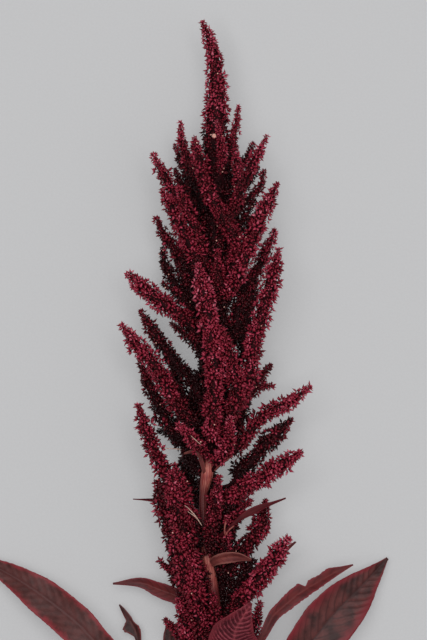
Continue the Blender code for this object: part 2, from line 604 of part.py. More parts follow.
def build_head(parts, work, cutters, material):
    """Join the main spike and every side spike, then clear them of stem, leaves and surface."""
    start = MAIN_GIRTH[0][0]
    line = [axis_at(start)[0]] + [Vector(row[:3]) for row in AXIS if row[1] > start + 4.0]
    path = smooth_path(line, FLORET_PITCH + 0.5)
    main_path = path

    def main_girth(share):
        return blend(MAIN_GIRTH, main_path[round(share * (len(main_path) - 1))].y)[0]

    head = floret_spike("seed_head", path, main_girth, 8, parts, material)
    back = Vector((0.0, 0.0, -SHEATH_DEPTH))
    line = [axis_at(y)[0] + back for y in (-176.0, -150.0, -125.0, -100.0, -75.0, -50.0, -34.0)]
    floret_spike("sheath", smooth_path(line, FLORET_PITCH),
                 lambda share: SHEATH_RADIUS * min(1.0, 0.5 + 4.0 * share), 6, work, material)
    for spike in [*SPIKES, REST_SPIKE, *underside_spikes(), *upper_spikes()]:
        path = smooth_path(spike_path(spike), FLORET_PITCH)
        length = FLORET_PITCH * (len(path) - 1)
        floret_spike(spike.name, path, spike_girth(spike.girth, length), spike.columns, work,
                     material, spike.bare)
    points = [vert.co.copy() for obj in [head, *work.objects] for vert in obj.data.vertices]
    florets = KDTree(len(points))
    for index, point in enumerate(points):
        florets.insert(point, index)
    florets.balance()
    apply_boolean(head, "UNION", work)
    thin_out(head, florets, HEAD_TRIANGLES)

    build_stem(cutters, material, "stem_clearance", HEAD_CLEARANCE)
    for leaf in LEAVES:
        if leaf.in_head:
            build_leaf(leaf, cutters, material, f"{leaf.name}_clearance", HEAD_CLEARANCE)
    bm = bmesh.new()
    bmesh.ops.create_cube(bm, size=1.0)
    bmesh.ops.scale(bm, vec=(400.0, 600.0, 60.0), verts=bm.verts)
    bmesh.ops.translate(bm, vec=(0.0, 0.0, -30.0), verts=bm.verts)
    mesh_object("surface_clearance", bm, cutters, material)
    apply_boolean(head, "DIFFERENCE", cutters)
    keep_largest(head)
    return head


def main():
    clear_scene()
    parts = make_collection("amaranth_seed_head")
    work = make_collection("spikes")
    cutters = make_collection("clearances")
    crimson = make_material("floret_crimson", (0.155, 0.010, 0.036), 0.75)
    stem_red = make_material("stem_rose_brown", (0.275, 0.070, 0.070), 0.55)
    leaf_purple = make_material("leaf_dark_purple", (0.107, 0.024, 0.033), 0.6)
    leaf_rose = make_material("leaf_rose", (0.190, 0.035, 0.050), 0.55)

    build_head(parts, work, cutters, crimson)
    build_stem(parts, stem_red)
    for leaf in LEAVES:
        blade = build_leaf(leaf, parts, leaf_rose if leaf.rose else leaf_purple)
        build_stem(cutters, stem_red, "stem_clearance", CLEARANCE)
        apply_boolean(blade, "DIFFERENCE", cutters)
        keep_largest(blade)


main()
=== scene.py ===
"""Looks of an amaranth seed head that lies on its back, seen from straight above.

The plant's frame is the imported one: +Y runs along the stem to the tip of the head, +X goes across
it and +Z points up from the surface. Lengths are millimetres unless a name says otherwise, and
each mesh is turned to metres when it is built. The head is one grown thing: its pieces here are
only shares of the florets, so that none of them has too many triangles.
"""

import logging
import math
from collections.abc import Iterable, Sequence
from dataclasses import dataclass, field
from enum import Enum

import bmesh
import bpy
import numpy as np
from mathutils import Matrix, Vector
from mathutils.kdtree import KDTree

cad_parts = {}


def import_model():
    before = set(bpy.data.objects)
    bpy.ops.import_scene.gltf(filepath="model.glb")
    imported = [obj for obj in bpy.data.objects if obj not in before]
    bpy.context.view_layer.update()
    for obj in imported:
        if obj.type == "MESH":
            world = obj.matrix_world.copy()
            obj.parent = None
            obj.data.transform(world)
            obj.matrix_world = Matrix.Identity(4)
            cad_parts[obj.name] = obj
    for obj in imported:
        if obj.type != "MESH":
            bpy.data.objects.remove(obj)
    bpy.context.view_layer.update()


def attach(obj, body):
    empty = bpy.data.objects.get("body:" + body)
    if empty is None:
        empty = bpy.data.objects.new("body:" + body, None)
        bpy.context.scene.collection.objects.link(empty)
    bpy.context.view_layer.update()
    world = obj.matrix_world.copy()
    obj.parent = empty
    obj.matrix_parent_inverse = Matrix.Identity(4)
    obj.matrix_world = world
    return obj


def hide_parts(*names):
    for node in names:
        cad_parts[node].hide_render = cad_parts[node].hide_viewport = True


log = logging.getLogger("amaranth")

MM = 0.001
SEED = 7
GOLDEN_ANGLE = math.pi * (3.0 - math.sqrt(5.0))

Row = tuple[float, ...]
Rows = tuple[Row, ...]

# The photograph's frame: its size in pixels, and the plant's millimetres to a pixel
PHOTO_WIDTH_PX = 427
PHOTO_HEIGHT_PX = 640
MM_PER_PX = 0.55
AXIS_PX = (213.0, 380.0)

# The camera takes in that height at the plane of the axis, from this many millimetres above it
LENS_MM = 135.0
SENSOR_MM = 36.0
CAMERA_DISTANCE = PHOTO_HEIGHT_PX * MM_PER_PX * LENS_MM / SENSOR_MM
AXIS_HEIGHT = 30.0


class PaintedLight(Enum):
    """Painted light and shade of a spike's florets: how light their tone is painted, from the outer ones
    in full light to those behind them, painted dark as shade.
    """

    OPEN = 1.0
    HALF = 0.62
    SHADE = 0.3
    DEEP = -0.4


class Share(Enum):
    """The shares of the head's florets, each one piece."""

    TIP = "florets_tip"
    LEFT = "florets_left"
    RIGHT = "florets_right"
    FRONT = "florets_front"
    LOW = "florets_low"
    UNDER = "florets_underside"


@dataclass(frozen=True)
class Spike:
    """A side spike, as in the part's source.

    root is the place along the axis that it leaves from; via holds the points that it passes, as
    x, y and height over the axis; girth is its radius at mid length.
    """

    name: str
    root: float
    via: Rows
    girth: float
    # painted shade on its florets' tone, for how far other spikes stand over this one
    light: PaintedLight = PaintedLight.HALF
    share: Share = Share.TIP
    bare: float = 0.14


def open_spike(name: str, root: float, via: Rows, girth: float, share: Share) -> Spike:
    """A spike on the outside of the head, which faces up; its florets get the lightest painted tone, with
    no painted shade.
    """
    return Spike(name, root, via, girth, PaintedLight.OPEN, share)


def half_spike(name: str, root: float, via: Rows, girth: float, share: Share) -> Spike:
    """A spike that others shade in part; its florets' tone is painted somewhat darker as shade."""
    return Spike(name, root, via, girth, PaintedLight.HALF, share)


def shade_spike(name: str, root: float, via: Rows, girth: float, share: Share) -> Spike:
    """A spike that stands behind others; its florets' tone is painted dark as shade."""
    return Spike(name, root, via, girth, PaintedLight.SHADE, share)


def deep_spike(name: str, root: float, via: Rows, girth: float, share: Share) -> Spike:
    """A spike deep behind others, whose florets are painted almost black as shade."""
    return Spike(name, root, via, girth, PaintedLight.DEEP, share)


# Centre line of stem and rachis: x, y, height, stem radius
AXIS: Rows = (
    (3.3, -188.0, 13.0, 3.6),
    (2.7, -176.0, 15.0, 3.4),
    (1.6, -143.0, 20.0, 3.1),
    (1.0, -123.0, 23.0, 3.0),
    (-0.6, -111.0, 24.7, 2.9),
    (-2.8, -100.0, 26.2, 2.8),
    (-5.2, -77.0, 28.6, 2.5),
    (-5.2, -63.0, 29.5, 2.2),
    (-3.3, -52.0, 30.0, 3.1),
    (-1.7, -41.0, 30.0, 2.4),
    (-1.0, -28.0, 30.0, 1.9),
    (1.0, 0.0, 30.0, 1.8),
    (1.0, 44.0, 30.0, 1.6),
    (1.6, 99.0, 30.0, 1.4),
    (1.1, 132.0, 30.0, 1.2),
    (1.9, 148.0, 30.0, 1.1),
    (1.9, 166.0, 30.0, 1.0),
    (-0.6, 183.0, 30.0, 0.9),
    (-6.0, 197.0, 29.5, 0.6),
)
STEM_TOP_Y = -28.0

# Radius of the main spike over its florets, along the plant
MAIN_GIRTH: Rows = ((-46.0, 3.4), (-38.0, 5.4), (-20.0, 7.6), (120.0, 7.4), (148.0, 6.9),
                    (162.0, 5.9), (176.0, 4.7), (190.0, 3.3), (197.0, 1.8))

SPIKES: tuple[Spike, ...] = (
    # round the foot of the terminal spike
    open_spike("top_right", 113, ((9, 129, 3), (12, 137, 4), (14, 150, 4)), 3.1, Share.TIP),
    open_spike("top_front", 106, ((5, 125, 11), (2, 141, 14)), 2.6, Share.TIP),
    open_spike("top_left", 100, ((-14, 121, -1), (-17, 131, -2), (-18, 142, -3)), 3.3, Share.TIP),
    half_spike("top_left_back", 97, ((-15, 118, -9), (-21, 130, -11)), 2.4, Share.TIP),
    half_spike("front_sweep", 48, ((14, 70, 12), (5, 89, 16), (-4, 107, 16), (-10, 132, 13)), 4.0,
               Share.FRONT),
    half_spike("front_sweep_low", 46, ((12, 77, 10), (3, 93, 13), (-3, 102, 15)), 3.2, Share.FRONT),
    half_spike("front_right", 79, ((14, 99, 12), (13, 114, 14), (12, 129, 12)), 3.3, Share.TIP),
    half_spike("top_left_low", 96, ((-8, 116, 3), (-11, 129, 4)), 3.4, Share.TIP),
    shade_spike("top_right_low", 96, ((8, 116, -2), (11, 131, -3)), 3.4, Share.TIP),
    # right side, from the top down
    open_spike("right_1", 87, ((16, 108, 4), (23, 121, 6), (29.5, 133.5, 5)), 3.6, Share.RIGHT),
    shade_spike("right_1_back", 97, ((16, 118, -6), (22, 130, -8)), 3.3, Share.RIGHT),
    shade_spike("right_2_back", 90, ((18, 107, -9), (25, 118, -12)), 2.6, Share.RIGHT),
    half_spike("right_2", 80, ((20, 100, 1), (26, 106, 2), (28, 115, 1)), 3.0, Share.RIGHT),
    open_spike("right_3", 37, ((14, 58, 11), (21, 76, 13), (27, 91, 12), (35, 107.5, 9)), 4.6,
               Share.RIGHT),
    open_spike("right_4", 41, ((20, 54, -4), (28, 68, -6), (34, 82, -8)), 3.8, Share.RIGHT),
    open_spike("right_5", -26, ((16, -8, 11), (23, 23, 15), (29, 44, 13), (36, 71, 8)), 4.8,
               Share.RIGHT),
    half_spike("right_6", -14, ((20, -5, -5), (27, 2, -7), (32, 8, -9)), 3.4, Share.RIGHT),
    half_spike("right_7", -16, ((18, -8, 3), (25, -4, 3), (32, -3, 1)), 3.6, Share.RIGHT),
    shade_spike("right_3_back", 38, ((15, 66, -4), (21, 84, -6), (27, 97, -7)), 3.4, Share.RIGHT),
    shade_spike("right_5_back", -14, ((14, 16, -3), (20, 40, -5), (23, 58, -7)), 4.0, Share.RIGHT),
    shade_spike("right_2_low", 62, ((13, 81, 0), (19, 92, -2), (23, 99, -3)), 2.8, Share.RIGHT),
    shade_spike("right_5_mid", 0, ((12, 26, -1), (14, 41, -2), (15.5, 50, -4)), 4.3, Share.RIGHT),
    shade_spike("right_8_back", -45, ((12, -26, -4), (17, -17, -6), (20, -10, -8)), 4.4, Share.RIGHT),
    # left side, from the top down
    open_spike("left_1", 74, ((-16, 95, 3), (-25, 109, 3), (-33, 124, 1)), 4.0, Share.LEFT),
    shade_spike("left_1_back", 85, ((-6, 102, -5), (-12, 113, -7), (-20, 122, -8)), 3.1, Share.LEFT),
    open_spike("left_2", 43, ((-6, 61, 8), (-14.5, 78, 10), (-21.5, 92, 9), (-28, 104, 7)), 4.6,
               Share.LEFT),
    half_spike("left_2_front", 54, ((-8, 77, 12), (-14, 92, 14), (-19, 105, 13)), 3.8, Share.LEFT),
    half_spike("left_3_back", 49, ((-17, 67, -3), (-25.5, 78, -5), (-31.5, 89, -7)), 4.0, Share.LEFT),
    shade_spike("left_4_back", 34, ((-20, 52, -9), (-26.5, 64, -12), (-28, 73, -14)), 3.4,
                Share.LEFT),
    open_spike("left_5", 12, ((-16, 34.5, 7), (-29, 43, 8), (-47, 58.5, 4)), 5.1, Share.LEFT),
    shade_spike("left_6", -16, ((-15.5, 5.5, -4), (-24, 14.5, -5), (-32, 25.5, -6), (-40, 38, -9)), 4.0,
                Share.LEFT),
    shade_spike("left_6_front", 10, ((-12, 22.5, 3), (-22.5, 31, 3)), 3.2, Share.LEFT),
    open_spike("left_7", -33, ((-20, -14, 7), (-31, 7, 8), (-41, 18, 7), (-50, 30, 4)), 4.6,
               Share.LEFT),
    shade_spike("left_8_back", -50, ((-19, -34, -5), (-31, -12, -9), (-40, 9, -12)), 4.2, Share.LEFT),
    half_spike("left_9", -100, ((-17, -77, 5), (-27, -50, 6), (-36, -29, 5), (-41, -14, 3)), 4.2,
               Share.LEFT),
    deep_spike("left_9_back", -56, ((-17, -41, -8), (-29, -30, -11)), 3.4, Share.LEFT),
    half_spike("left_10", -97, ((-13, -73, 9), (-17.5, -58, 9), (-21, -46.5, 8)), 4.0, Share.LEFT),
    shade_spike("left_1_low", 78, ((-12, 97, -2), (-18, 109, -2), (-21, 116, -4)), 2.9, Share.LEFT),
    shade_spike("left_4", 28, ((-9, 48, -1), (-14, 62, -2), (-18, 74, -3)), 3.7, Share.LEFT),
    shade_spike("left_3_low", 30, ((-13, 49, -4), (-18, 61, -5), (-22, 69, -7)), 3.2, Share.LEFT),
    shade_spike("left_5_back", 21, ((-12, 39, -2), (-20, 48, -3), (-27, 53, -5)), 3.5, Share.LEFT),
    shade_spike("left_7_back", -45, ((-13, -20, -4), (-20, -6, -6), (-26, 4, -8)), 4.2, Share.LEFT),
    # columns that face up
    open_spike("front_column", -45, ((0, -20, 15), (1, 8, 18), (-3, 38, 18), (-8, 63, 15)), 4.9,
               Share.FRONT),
    half_spike("front_right_column", -34, ((13, -11, 15), (10, 9, 18), (5, 28, 18)), 4.2, Share.FRONT),
    open_spike("front_left_tuft", -45, ((-11, -32, 14), (-19, -24, 15)), 3.6, Share.FRONT),
    Spike("front_right_tuft", -55, ((8, -35, 12), (9, -20, 14)), 3.6, PaintedLight.OPEN, Share.FRONT,
          bare=0.32),
    # lower right sprays
    Spike("low_right_1", -54, ((15, -35, 3), (27, -20, 5), (40, -13, 4), (53, -4, 2)), 4.0,
          PaintedLight.OPEN, Share.LOW, bare=0.26),
    Spike("low_right_2", -62, ((19, -45.5, -5), (31, -34, -7), (43, -22.5, -9)), 4.8,
          PaintedLight.SHADE, Share.LOW, bare=0.3),
    open_spike("low_right_3", -81, ((13, -62, 5), (30, -51, 6), (48.5, -39.5, 4)), 5.0, Share.LOW),
    half_spike("low_right_4", -99, ((7, -85, 1), (13, -74, 2), (20, -66, 1)), 3.4, Share.LOW),
    half_spike("stem_right_tuft", -110, ((5, -100, 0), (7, -90, 6), (8, -75, 8)), 2.7, Share.LOW),
    deep_spike("stem_right_back", -108, ((6, -94, -7), (12, -81, -9)), 3.1, Share.LOW),
    half_spike("stem_front_tuft", -99, ((-1, -89, 7), (0, -75, 9), (2, -62, 9), (3.5, -53, 8)), 3.6,
               Share.LOW),
    shade_spike("stem_foot_tuft", -150, ((1, -141, 8), (1, -130, 9), (0, -118, 8)), 3.6, Share.LOW),
    half_spike("low_right_5", -117, ((17, -94, -3), (26, -81, -4), (29, -67, -6)), 4.8, Share.LOW),
    open_spike("low_right_6", -144, ((16, -121, 6), (29, -105, 7), (41, -87, 4)), 5.2, Share.LOW),
    half_spike("low_right_7", -163, ((13, -150, -1), (22, -139, -1), (26, -124, -2)), 3.4, Share.LOW),
    half_spike("low_right_8", -166, ((15, -153, -2), (24, -146, -2), (30, -137, -3)), 3.3, Share.LOW),
    shade_spike("low_right_3_back", -94, ((3, -77, -5), (8, -64, -6), (14, -54, -7)), 4.2, Share.LOW),
    deep_spike("low_right_6_back", -148, ((8, -129, -1), (14, -114, -1), (22, -100, -2)), 5.0,
               Share.LOW),
    # dense column on the lower left
    half_spike("low_left_1", -122, ((-13, -95, 9), (-20, -66, 11), (-23, -50, 11)), 4.9, Share.LOW),
    half_spike("low_left_2", -122, ((-17, -99, 1), (-26, -74, 0), (-31, -56, -2)), 4.7, Share.LOW),
    half_spike("low_left_3", -139, ((-12, -117, 10), (-18, -95, 12), (-20, -77, 11)), 4.6, Share.LOW),
    half_spike("low_left_4", -142, ((-13, -118, -1), (-22, -107, -1), (-29, -100.5, -2)), 3.3,
               Share.LOW),
    half_spike("low_left_5", -146, ((-13, -124, -1), (-19, -106, -2), (-23, -91, -4)), 4.5, Share.LOW),
    half_spike("low_left_6", -166, ((-9, -153, 2), (-17, -143, 2), (-26, -133, 0)), 3.4, Share.LOW),
    half_spike("low_left_7", -166, ((-6, -143, 9), (-9, -121, 11), (-12, -99, 11)), 4.5, Share.LOW),
    half_spike("low_left_8", -177, ((-7, -158, 6), (-14, -139, 7), (-19, -121, 6)), 4.3, Share.LOW),
    half_spike("rest", -46, ((0, -30, -17), (0, -10, -28), (0, 16, -30)), 5.0, Share.UNDER),
)

# Where the paper shows between the spikes: place in the photograph and radius in millimetres
GAPS: Rows = ((188.0, 356.0, 2.6), (179.0, 349.0, 2.0), (194.0, 364.0, 1.5), (221.5, 471.0, 3.4),
              (178.0, 453.0, 3.0), (241.5, 452.5, 2.2), (202.0, 449.0, 1.2), (228.5, 415.0, 1.5),
              (165.0, 441.0, 1.5), (234.0, 351.0, 1.5), (221.0, 510.0, 1.4), (186.5, 389.0, 1.0),
              (205.5, 390.0, 1.0))

# Half width of the head along the plant, which the spikes on its underside stay within
UNDERSIDE_SPREAD: Rows = ((-150.0, 15.0), (-100.0, 22.0), (-40.0, 26.0), (30.0, 26.0),
                          (90.0, 18.0), (130.0, 10.0))


def linear(hex_colour: str) -> tuple[float, float, float, float]:
    """Turn an sRGB hex colour to linear.

    Args:
        hex_colour: a colour such as "#6e1a35".

    Returns:
        Red, green, blue and an alpha of 1.
    """
    values = (int(hex_colour[k:k + 2], 16) / 255.0 for k in (1, 3, 5))
    red, green, blue = (v / 12.92 if v <= 0.04045 else ((v + 0.055) / 1.055) ** 2.4 for v in values)
    return red, green, blue, 1.0


def photo_place(px: float, py: float) -> tuple[float, float]:
    """The plant's x and y under a pixel of the photograph, at the height of the axis."""
    return MM_PER_PX * (px - AXIS_PX[0]), MM_PER_PX * (AXIS_PX[1] - py)


def sight_place(point: Row) -> Row:
    """Move a point that was traced in the plane of the axis along its line of sight.

    Args:
        point: x and y in that plane, and the point's own height.

    Returns:
        The place at that height that the camera sees there.
    """
    x, y = photo_place(PHOTO_WIDTH_PX / 2.0, PHOTO_HEIGHT_PX / 2.0)
    spread = 1.0 + (AXIS_HEIGHT - point[2]) / CAMERA_DISTANCE
    return x + (point[0] - x) * spread, y + (point[1] - y) * spread, point[2]


def blend(table: Rows, at: float) -> Row:
    """Read a table of (position, value...) rows at a position, eased between its rows.

    Args:
        table: rows in order of position.
        at: the position to read.

    Returns:
        The row's values there, without the position.
    """
    if at <= table[0][0]:
        return table[0][1:]
    for low, high in zip(table, table[1:]):
        if at <= high[0]:
            share = (at - low[0]) / (high[0] - low[0])
            share = share * share * (3.0 - 2.0 * share)
            return tuple(a + (b - a) * share for a, b in zip(low[1:], high[1:]))
    return table[-1][1:]


def read_row(table: Rows, at: np.ndarray) -> np.ndarray:
    """Read a table of (position, value) rows at many positions, straight between its rows."""
    return np.interp(at, [row[0] for row in table], [row[1] for row in table])


def axis_at(y: float) -> tuple[Vector, float]:
    """Point of the plant's axis at a place along it, and the stem's radius there."""
    place = [row[1] for row in AXIS]
    x, z, radius = (float(np.interp(y, place, [row[k] for row in AXIS])) for k in (0, 2, 3))
    return Vector((x, min(max(y, place[0]), place[-1]), z)), radius


def smooth_path(points: Iterable[Sequence[float]], step: float) -> np.ndarray:
    """Even points along a smooth curve through the given ones.

    Args:
        points: the points that the curve passes.
        step: the wanted distance between the even points.

    Returns:
        An array of points, one a row.
    """
    pts = [Vector(p) for p in points]
    pts = [pts[0] * 2.0 - pts[1]] + pts + [pts[-1] * 2.0 - pts[-2]]
    dense = []
    for a, b, c, d in zip(pts, pts[1:], pts[2:], pts[3:]):
        for k in range(24):
            t = k / 24.0
            dense.append(0.5 * ((2.0 * b) + (c - a) * t + (2.0 * a - 5.0 * b + 4.0 * c - d) * t * t
                                + (3.0 * b - a - 3.0 * c + d) * t ** 3))
    dense.append(pts[-2].copy())
    line = np.array([tuple(p) for p in dense])
    reach = np.concatenate(([0.0], np.cumsum(np.linalg.norm(np.diff(line, axis=0), axis=1))))
    count = max(3, round(reach[-1] / step))
    wanted = np.linspace(0.0, reach[-1], count + 1)
    return np.stack([np.interp(wanted, reach, line[:, k]) for k in range(3)], axis=1)


def unit(vectors: np.ndarray) -> np.ndarray:
    """The vectors, one a row, at length 1."""
    return vectors / np.maximum(np.linalg.norm(vectors, axis=-1, keepdims=True), 1e-9)


def frames_along(path: np.ndarray) -> tuple[np.ndarray, np.ndarray, np.ndarray]:
    """Tangent, side and up at each point of a path, turned as little as possible."""
    tangents = unit(np.gradient(path, axis=0))
    normal = np.array((0.0, 0.0, 1.0)) - tangents[0] * tangents[0][2]
    if np.linalg.norm(normal) < 0.1:
        normal = np.array((1.0, 0.0, 0.0)) - tangents[0] * tangents[0][0]
    ups = []
    for tangent in tangents:
        normal = unit(normal - tangent * normal.dot(tangent))
        ups.append(normal)
    up = np.array(ups)
    return tangents, np.cross(up, tangents), up


@dataclass
class Pile:
    """Points, triangles and marks that are gathered for one piece.

    A mark is three numbers a point, kept on the mesh under the name "mark", which the finishes
    read: what they mean is up to the piece.
    """

    points: list[np.ndarray] = field(default_factory=list)
    faces: list[np.ndarray] = field(default_factory=list)
    marks: list[np.ndarray] = field(default_factory=list)
    finishes: list[np.ndarray] = field(default_factory=list)
    count: int = 0

    def add(self, points: np.ndarray, faces: np.ndarray, marks: np.ndarray, finish: int = 0) -> None:
        """Add a closed shape.

        Args:
            points: its points, one a row.
            faces: its triangles, as rows of indices into the points.
            marks: three numbers for each point.
            finish: the index of its finish among the piece's finishes.
        """
        self.points.append(points)
        self.faces.append(faces + self.count)
        self.marks.append(marks)
        self.finishes.append(np.full(len(faces), finish, dtype=np.int32))
        self.count += len(points)

    def build(self, name: str, materials: Sequence[bpy.types.Material]) -> bpy.types.Object:
        """Make the piece's object, in metres and above the surface.

        Args:
            name: the object's name.
            materials: its finishes, in the order that add counts them.

        Returns:
            The object, linked to the scene.
        """
        points = np.concatenate(self.points) * MM
        points[:, 2] = np.maximum(points[:, 2], 0.1 * MM)
        faces = np.concatenate(self.faces).astype(np.int32)
        mesh = bpy.data.meshes.new(name)
        mesh.vertices.add(len(points))
        mesh.vertices.foreach_set("co", points.ravel())
        mesh.loops.add(faces.size)
        mesh.loops.foreach_set("vertex_index", faces.ravel())
        mesh.polygons.add(len(faces))
        mesh.polygons.foreach_set("loop_start", np.arange(0, faces.size, 3, dtype=np.int32))
        mesh.polygons.foreach_set("material_index", np.concatenate(self.finishes))
        mesh.update(calc_edges=True)
        mesh.shade_smooth()
        mark = mesh.attributes.new("mark", "FLOAT_VECTOR", "POINT")
        mark.data.foreach_set("vector", np.concatenate(self.marks).astype(np.float32).ravel())
        for material in materials:
            mesh.materials.append(material)
        piece = bpy.data.objects.new(name, mesh)
        bpy.context.scene.collection.objects.link(piece)
        return piece


def ring_angles(sides: int) -> np.ndarray:
    """Turns of a ring's points, as one row."""
    return np.linspace(0.0, math.tau, sides, endpoint=False)[None, :]


def rings_along(path: np.ndarray, radius: np.ndarray, sides: int) -> np.ndarray:
    """Rings of points round a path.

    Args:
        path: the centre line's points.
        radius: a row for each of them, with one radius or one for each point of the ring.
        sides: how many points a ring has.

    Returns:
        The points, by ring and by turn.
    """
    _, side, up = frames_along(path)
    angle = ring_angles(sides)[..., None]
    spoke = side[:, None, :] * np.cos(angle) + up[:, None, :] * np.sin(angle)
    return path[:, None, :] + spoke * radius[..., None]


def dress(piece: bpy.types.Object, node: str) -> None:
    """Put a piece in a node's place."""
    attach(piece, "root")
    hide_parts(node)
    log.info("%s: %d triangles", piece.name, len(piece.data.polygons))


def tube_faces(rings: int, sides: int) -> np.ndarray:
    """Triangles of a closed tube: rings of points in order, then one point for each end.

    Args:
        rings: how many rings there are.
        sides: how many points a ring has.

    Returns:
        Rows of three indices, facing out for rings that turn from side to up.
    """
    faces = []
    for j in range(rings - 1):
        for i in range(sides):
            k = (i + 1) % sides
            a, b, c, d = j * sides + i, j * sides + k, (j + 1) * sides + k, (j + 1) * sides + i
            faces += [(a, b, c), (a, c, d)] if (i + j) % 2 else [(a, b, d), (b, c, d)]
    first, last = rings * sides, rings * sides + 1
    for i in range(sides):
        k = (i + 1) % sides
        faces.append((k, i, first))
        faces.append(((rings - 1) * sides + i, (rings - 1) * sides + k, last))
    return np.array(faces)


def add_node(tree: bpy.types.NodeTree, kind: str, settings: dict[str, object] | None = None,
             links: dict[str | int, bpy.types.NodeSocket] | None = None) -> bpy.types.Node:
    """Add a node with its settings and links.

    Args:
        tree: the node tree that takes it.
        kind: the node's type.
        settings: values for its properties, or for its inputs under their names.
        links: output sockets that feed its inputs, under the inputs' names or numbers.

    Returns:
        The node.
    """
    node = tree.nodes.new(kind)
    for name, value in (settings or {}).items():
        if name in node.inputs:
            node.inputs[name].default_value = value
        else:
            setattr(node, name, value)
    for name, socket in (links or {}).items():
        tree.links.new(socket, node.inputs[name])
    return node


def new_material(name: str) -> tuple[bpy.types.Material, bpy.types.NodeTree, bpy.types.Node]:
    """Start a material.

    Args:
        name: the real material's name.

    Returns:
        The material, its node tree and its shader.
    """
    material = bpy.data.materials.new(name)
    material.use_nodes = True
    return material, material.node_tree, material.node_tree.nodes["Principled BSDF"]


def mark_parts(tree: bpy.types.NodeTree) -> bpy.types.NodeOutputs:
    """The three numbers of the mesh's mark, under X, Y and Z."""
    mark = add_node(tree, "ShaderNodeAttribute", {"attribute_name": "mark"})
    return add_node(tree, "ShaderNodeSeparateXYZ", links={0: mark.outputs["Vector"]}).outputs


def object_place(tree: bpy.types.NodeTree) -> bpy.types.NodeSocket:
    """Place on the object, in metres."""
    return add_node(tree, "ShaderNodeTexCoord").outputs["Object"]


def noise(tree: bpy.types.NodeTree, size_mm: float, detail: float = 2.0) -> bpy.types.NodeSocket:
    """A random pattern whose cells have a real size."""
    settings = {"Scale": 1.0 / (size_mm * MM), "Detail": detail}
    return add_node(tree, "ShaderNodeTexNoise", settings, {"Vector": object_place(tree)}).outputs[0]


def arithmetic(tree: bpy.types.NodeTree, operation: str,
               *terms: bpy.types.NodeSocket | float) -> bpy.types.NodeSocket:
    """Work out a value from sockets and plain numbers.

    Args:
        tree: the node tree that takes the node.
        operation: the node's operation.
        terms: its inputs, in order.

    Returns:
        The result's socket.
    """
    node = add_node(tree, "ShaderNodeMath", {"operation": operation})
    for index, term in enumerate(terms):
        if isinstance(term, float):
            node.inputs[index].default_value = term
        else:
            tree.links.new(term, node.inputs[index])
    return node.outputs[0]


def spread_value(tree: bpy.types.NodeTree, value: bpy.types.NodeSocket,
                 **settings: float | str) -> bpy.types.NodeSocket:
    """Move a value from one range to another.

    Args:
        tree: the node tree that takes the node.
        value: the value's socket.
        settings: from_min, from_max, to_min and to_max, and the node's own properties.

    Returns:
        The result's socket.
    """
    named = {key if key == "interpolation_type" else key.replace("_", " ").title(): setting
             for key, setting in settings.items()}
    return add_node(tree, "ShaderNodeMapRange", named, {"Value": value}).outputs[0]


def ramp_colour(tree: bpy.types.NodeTree, value: bpy.types.NodeSocket,
                stops: Sequence[tuple[float, str]]) -> bpy.types.NodeSocket:
    """Colour a value by a ramp.

    Args:
        tree: the node tree that takes the ramp.
        value: the value's socket.
        stops: places from 0 to 1, with hex colours.

    Returns:
        The colour's socket.
    """
    ramp = add_node(tree, "ShaderNodeValToRGB", links={0: value})
    elements = ramp.color_ramp.elements
    elements.remove(elements[1])
    elements[0].position, elements[0].color = stops[0][0], linear(stops[0][1])
    for place, colour in stops[1:]:
        elements.new(place).color = linear(colour)
    return ramp.outputs["Color"]


def mixed_colour(tree: bpy.types.NodeTree, factor: bpy.types.NodeSocket,
                 under: bpy.types.NodeSocket | str, over: bpy.types.NodeSocket | str
                 ) -> bpy.types.NodeSocket:
    """Mix two colours, each a socket or a hex colour.

    Args:
        tree: the node tree that takes the node.
        factor: the share of the upper colour.
        under: the colour at 0.
        over: the colour at 1.

    Returns:
        The mixed colour's socket.
    """
    mix = add_node(tree, "ShaderNodeMix", {"data_type": "RGBA"}, {"Factor": factor})
    for index, colour in ((6, under), (7, over)):
        if isinstance(colour, str):
            mix.inputs[index].default_value = linear(colour)
        else:
            tree.links.new(colour, mix.inputs[index])
    return mix.outputs[2]


def feed(tree: bpy.types.NodeTree, shader: bpy.types.Node,
         inputs: dict[str, bpy.types.NodeSocket | float]) -> None:
    """Give a shader its inputs, as sockets or plain numbers."""
    for name, source in inputs.items():
        if isinstance(source, float):
            shader.inputs[name].default_value = source
        else:
            tree.links.new(source, shader.inputs[name])


def relief(tree: bpy.types.NodeTree, height: bpy.types.NodeSocket, strength: float,
           depth_mm: float) -> bpy.types.NodeSocket:
    """Fine relief from a pattern, as a normal."""
    return add_node(tree, "ShaderNodeBump", {"Strength": strength, "Distance": depth_mm * MM},
                    {"Height": height}).outputs[0]


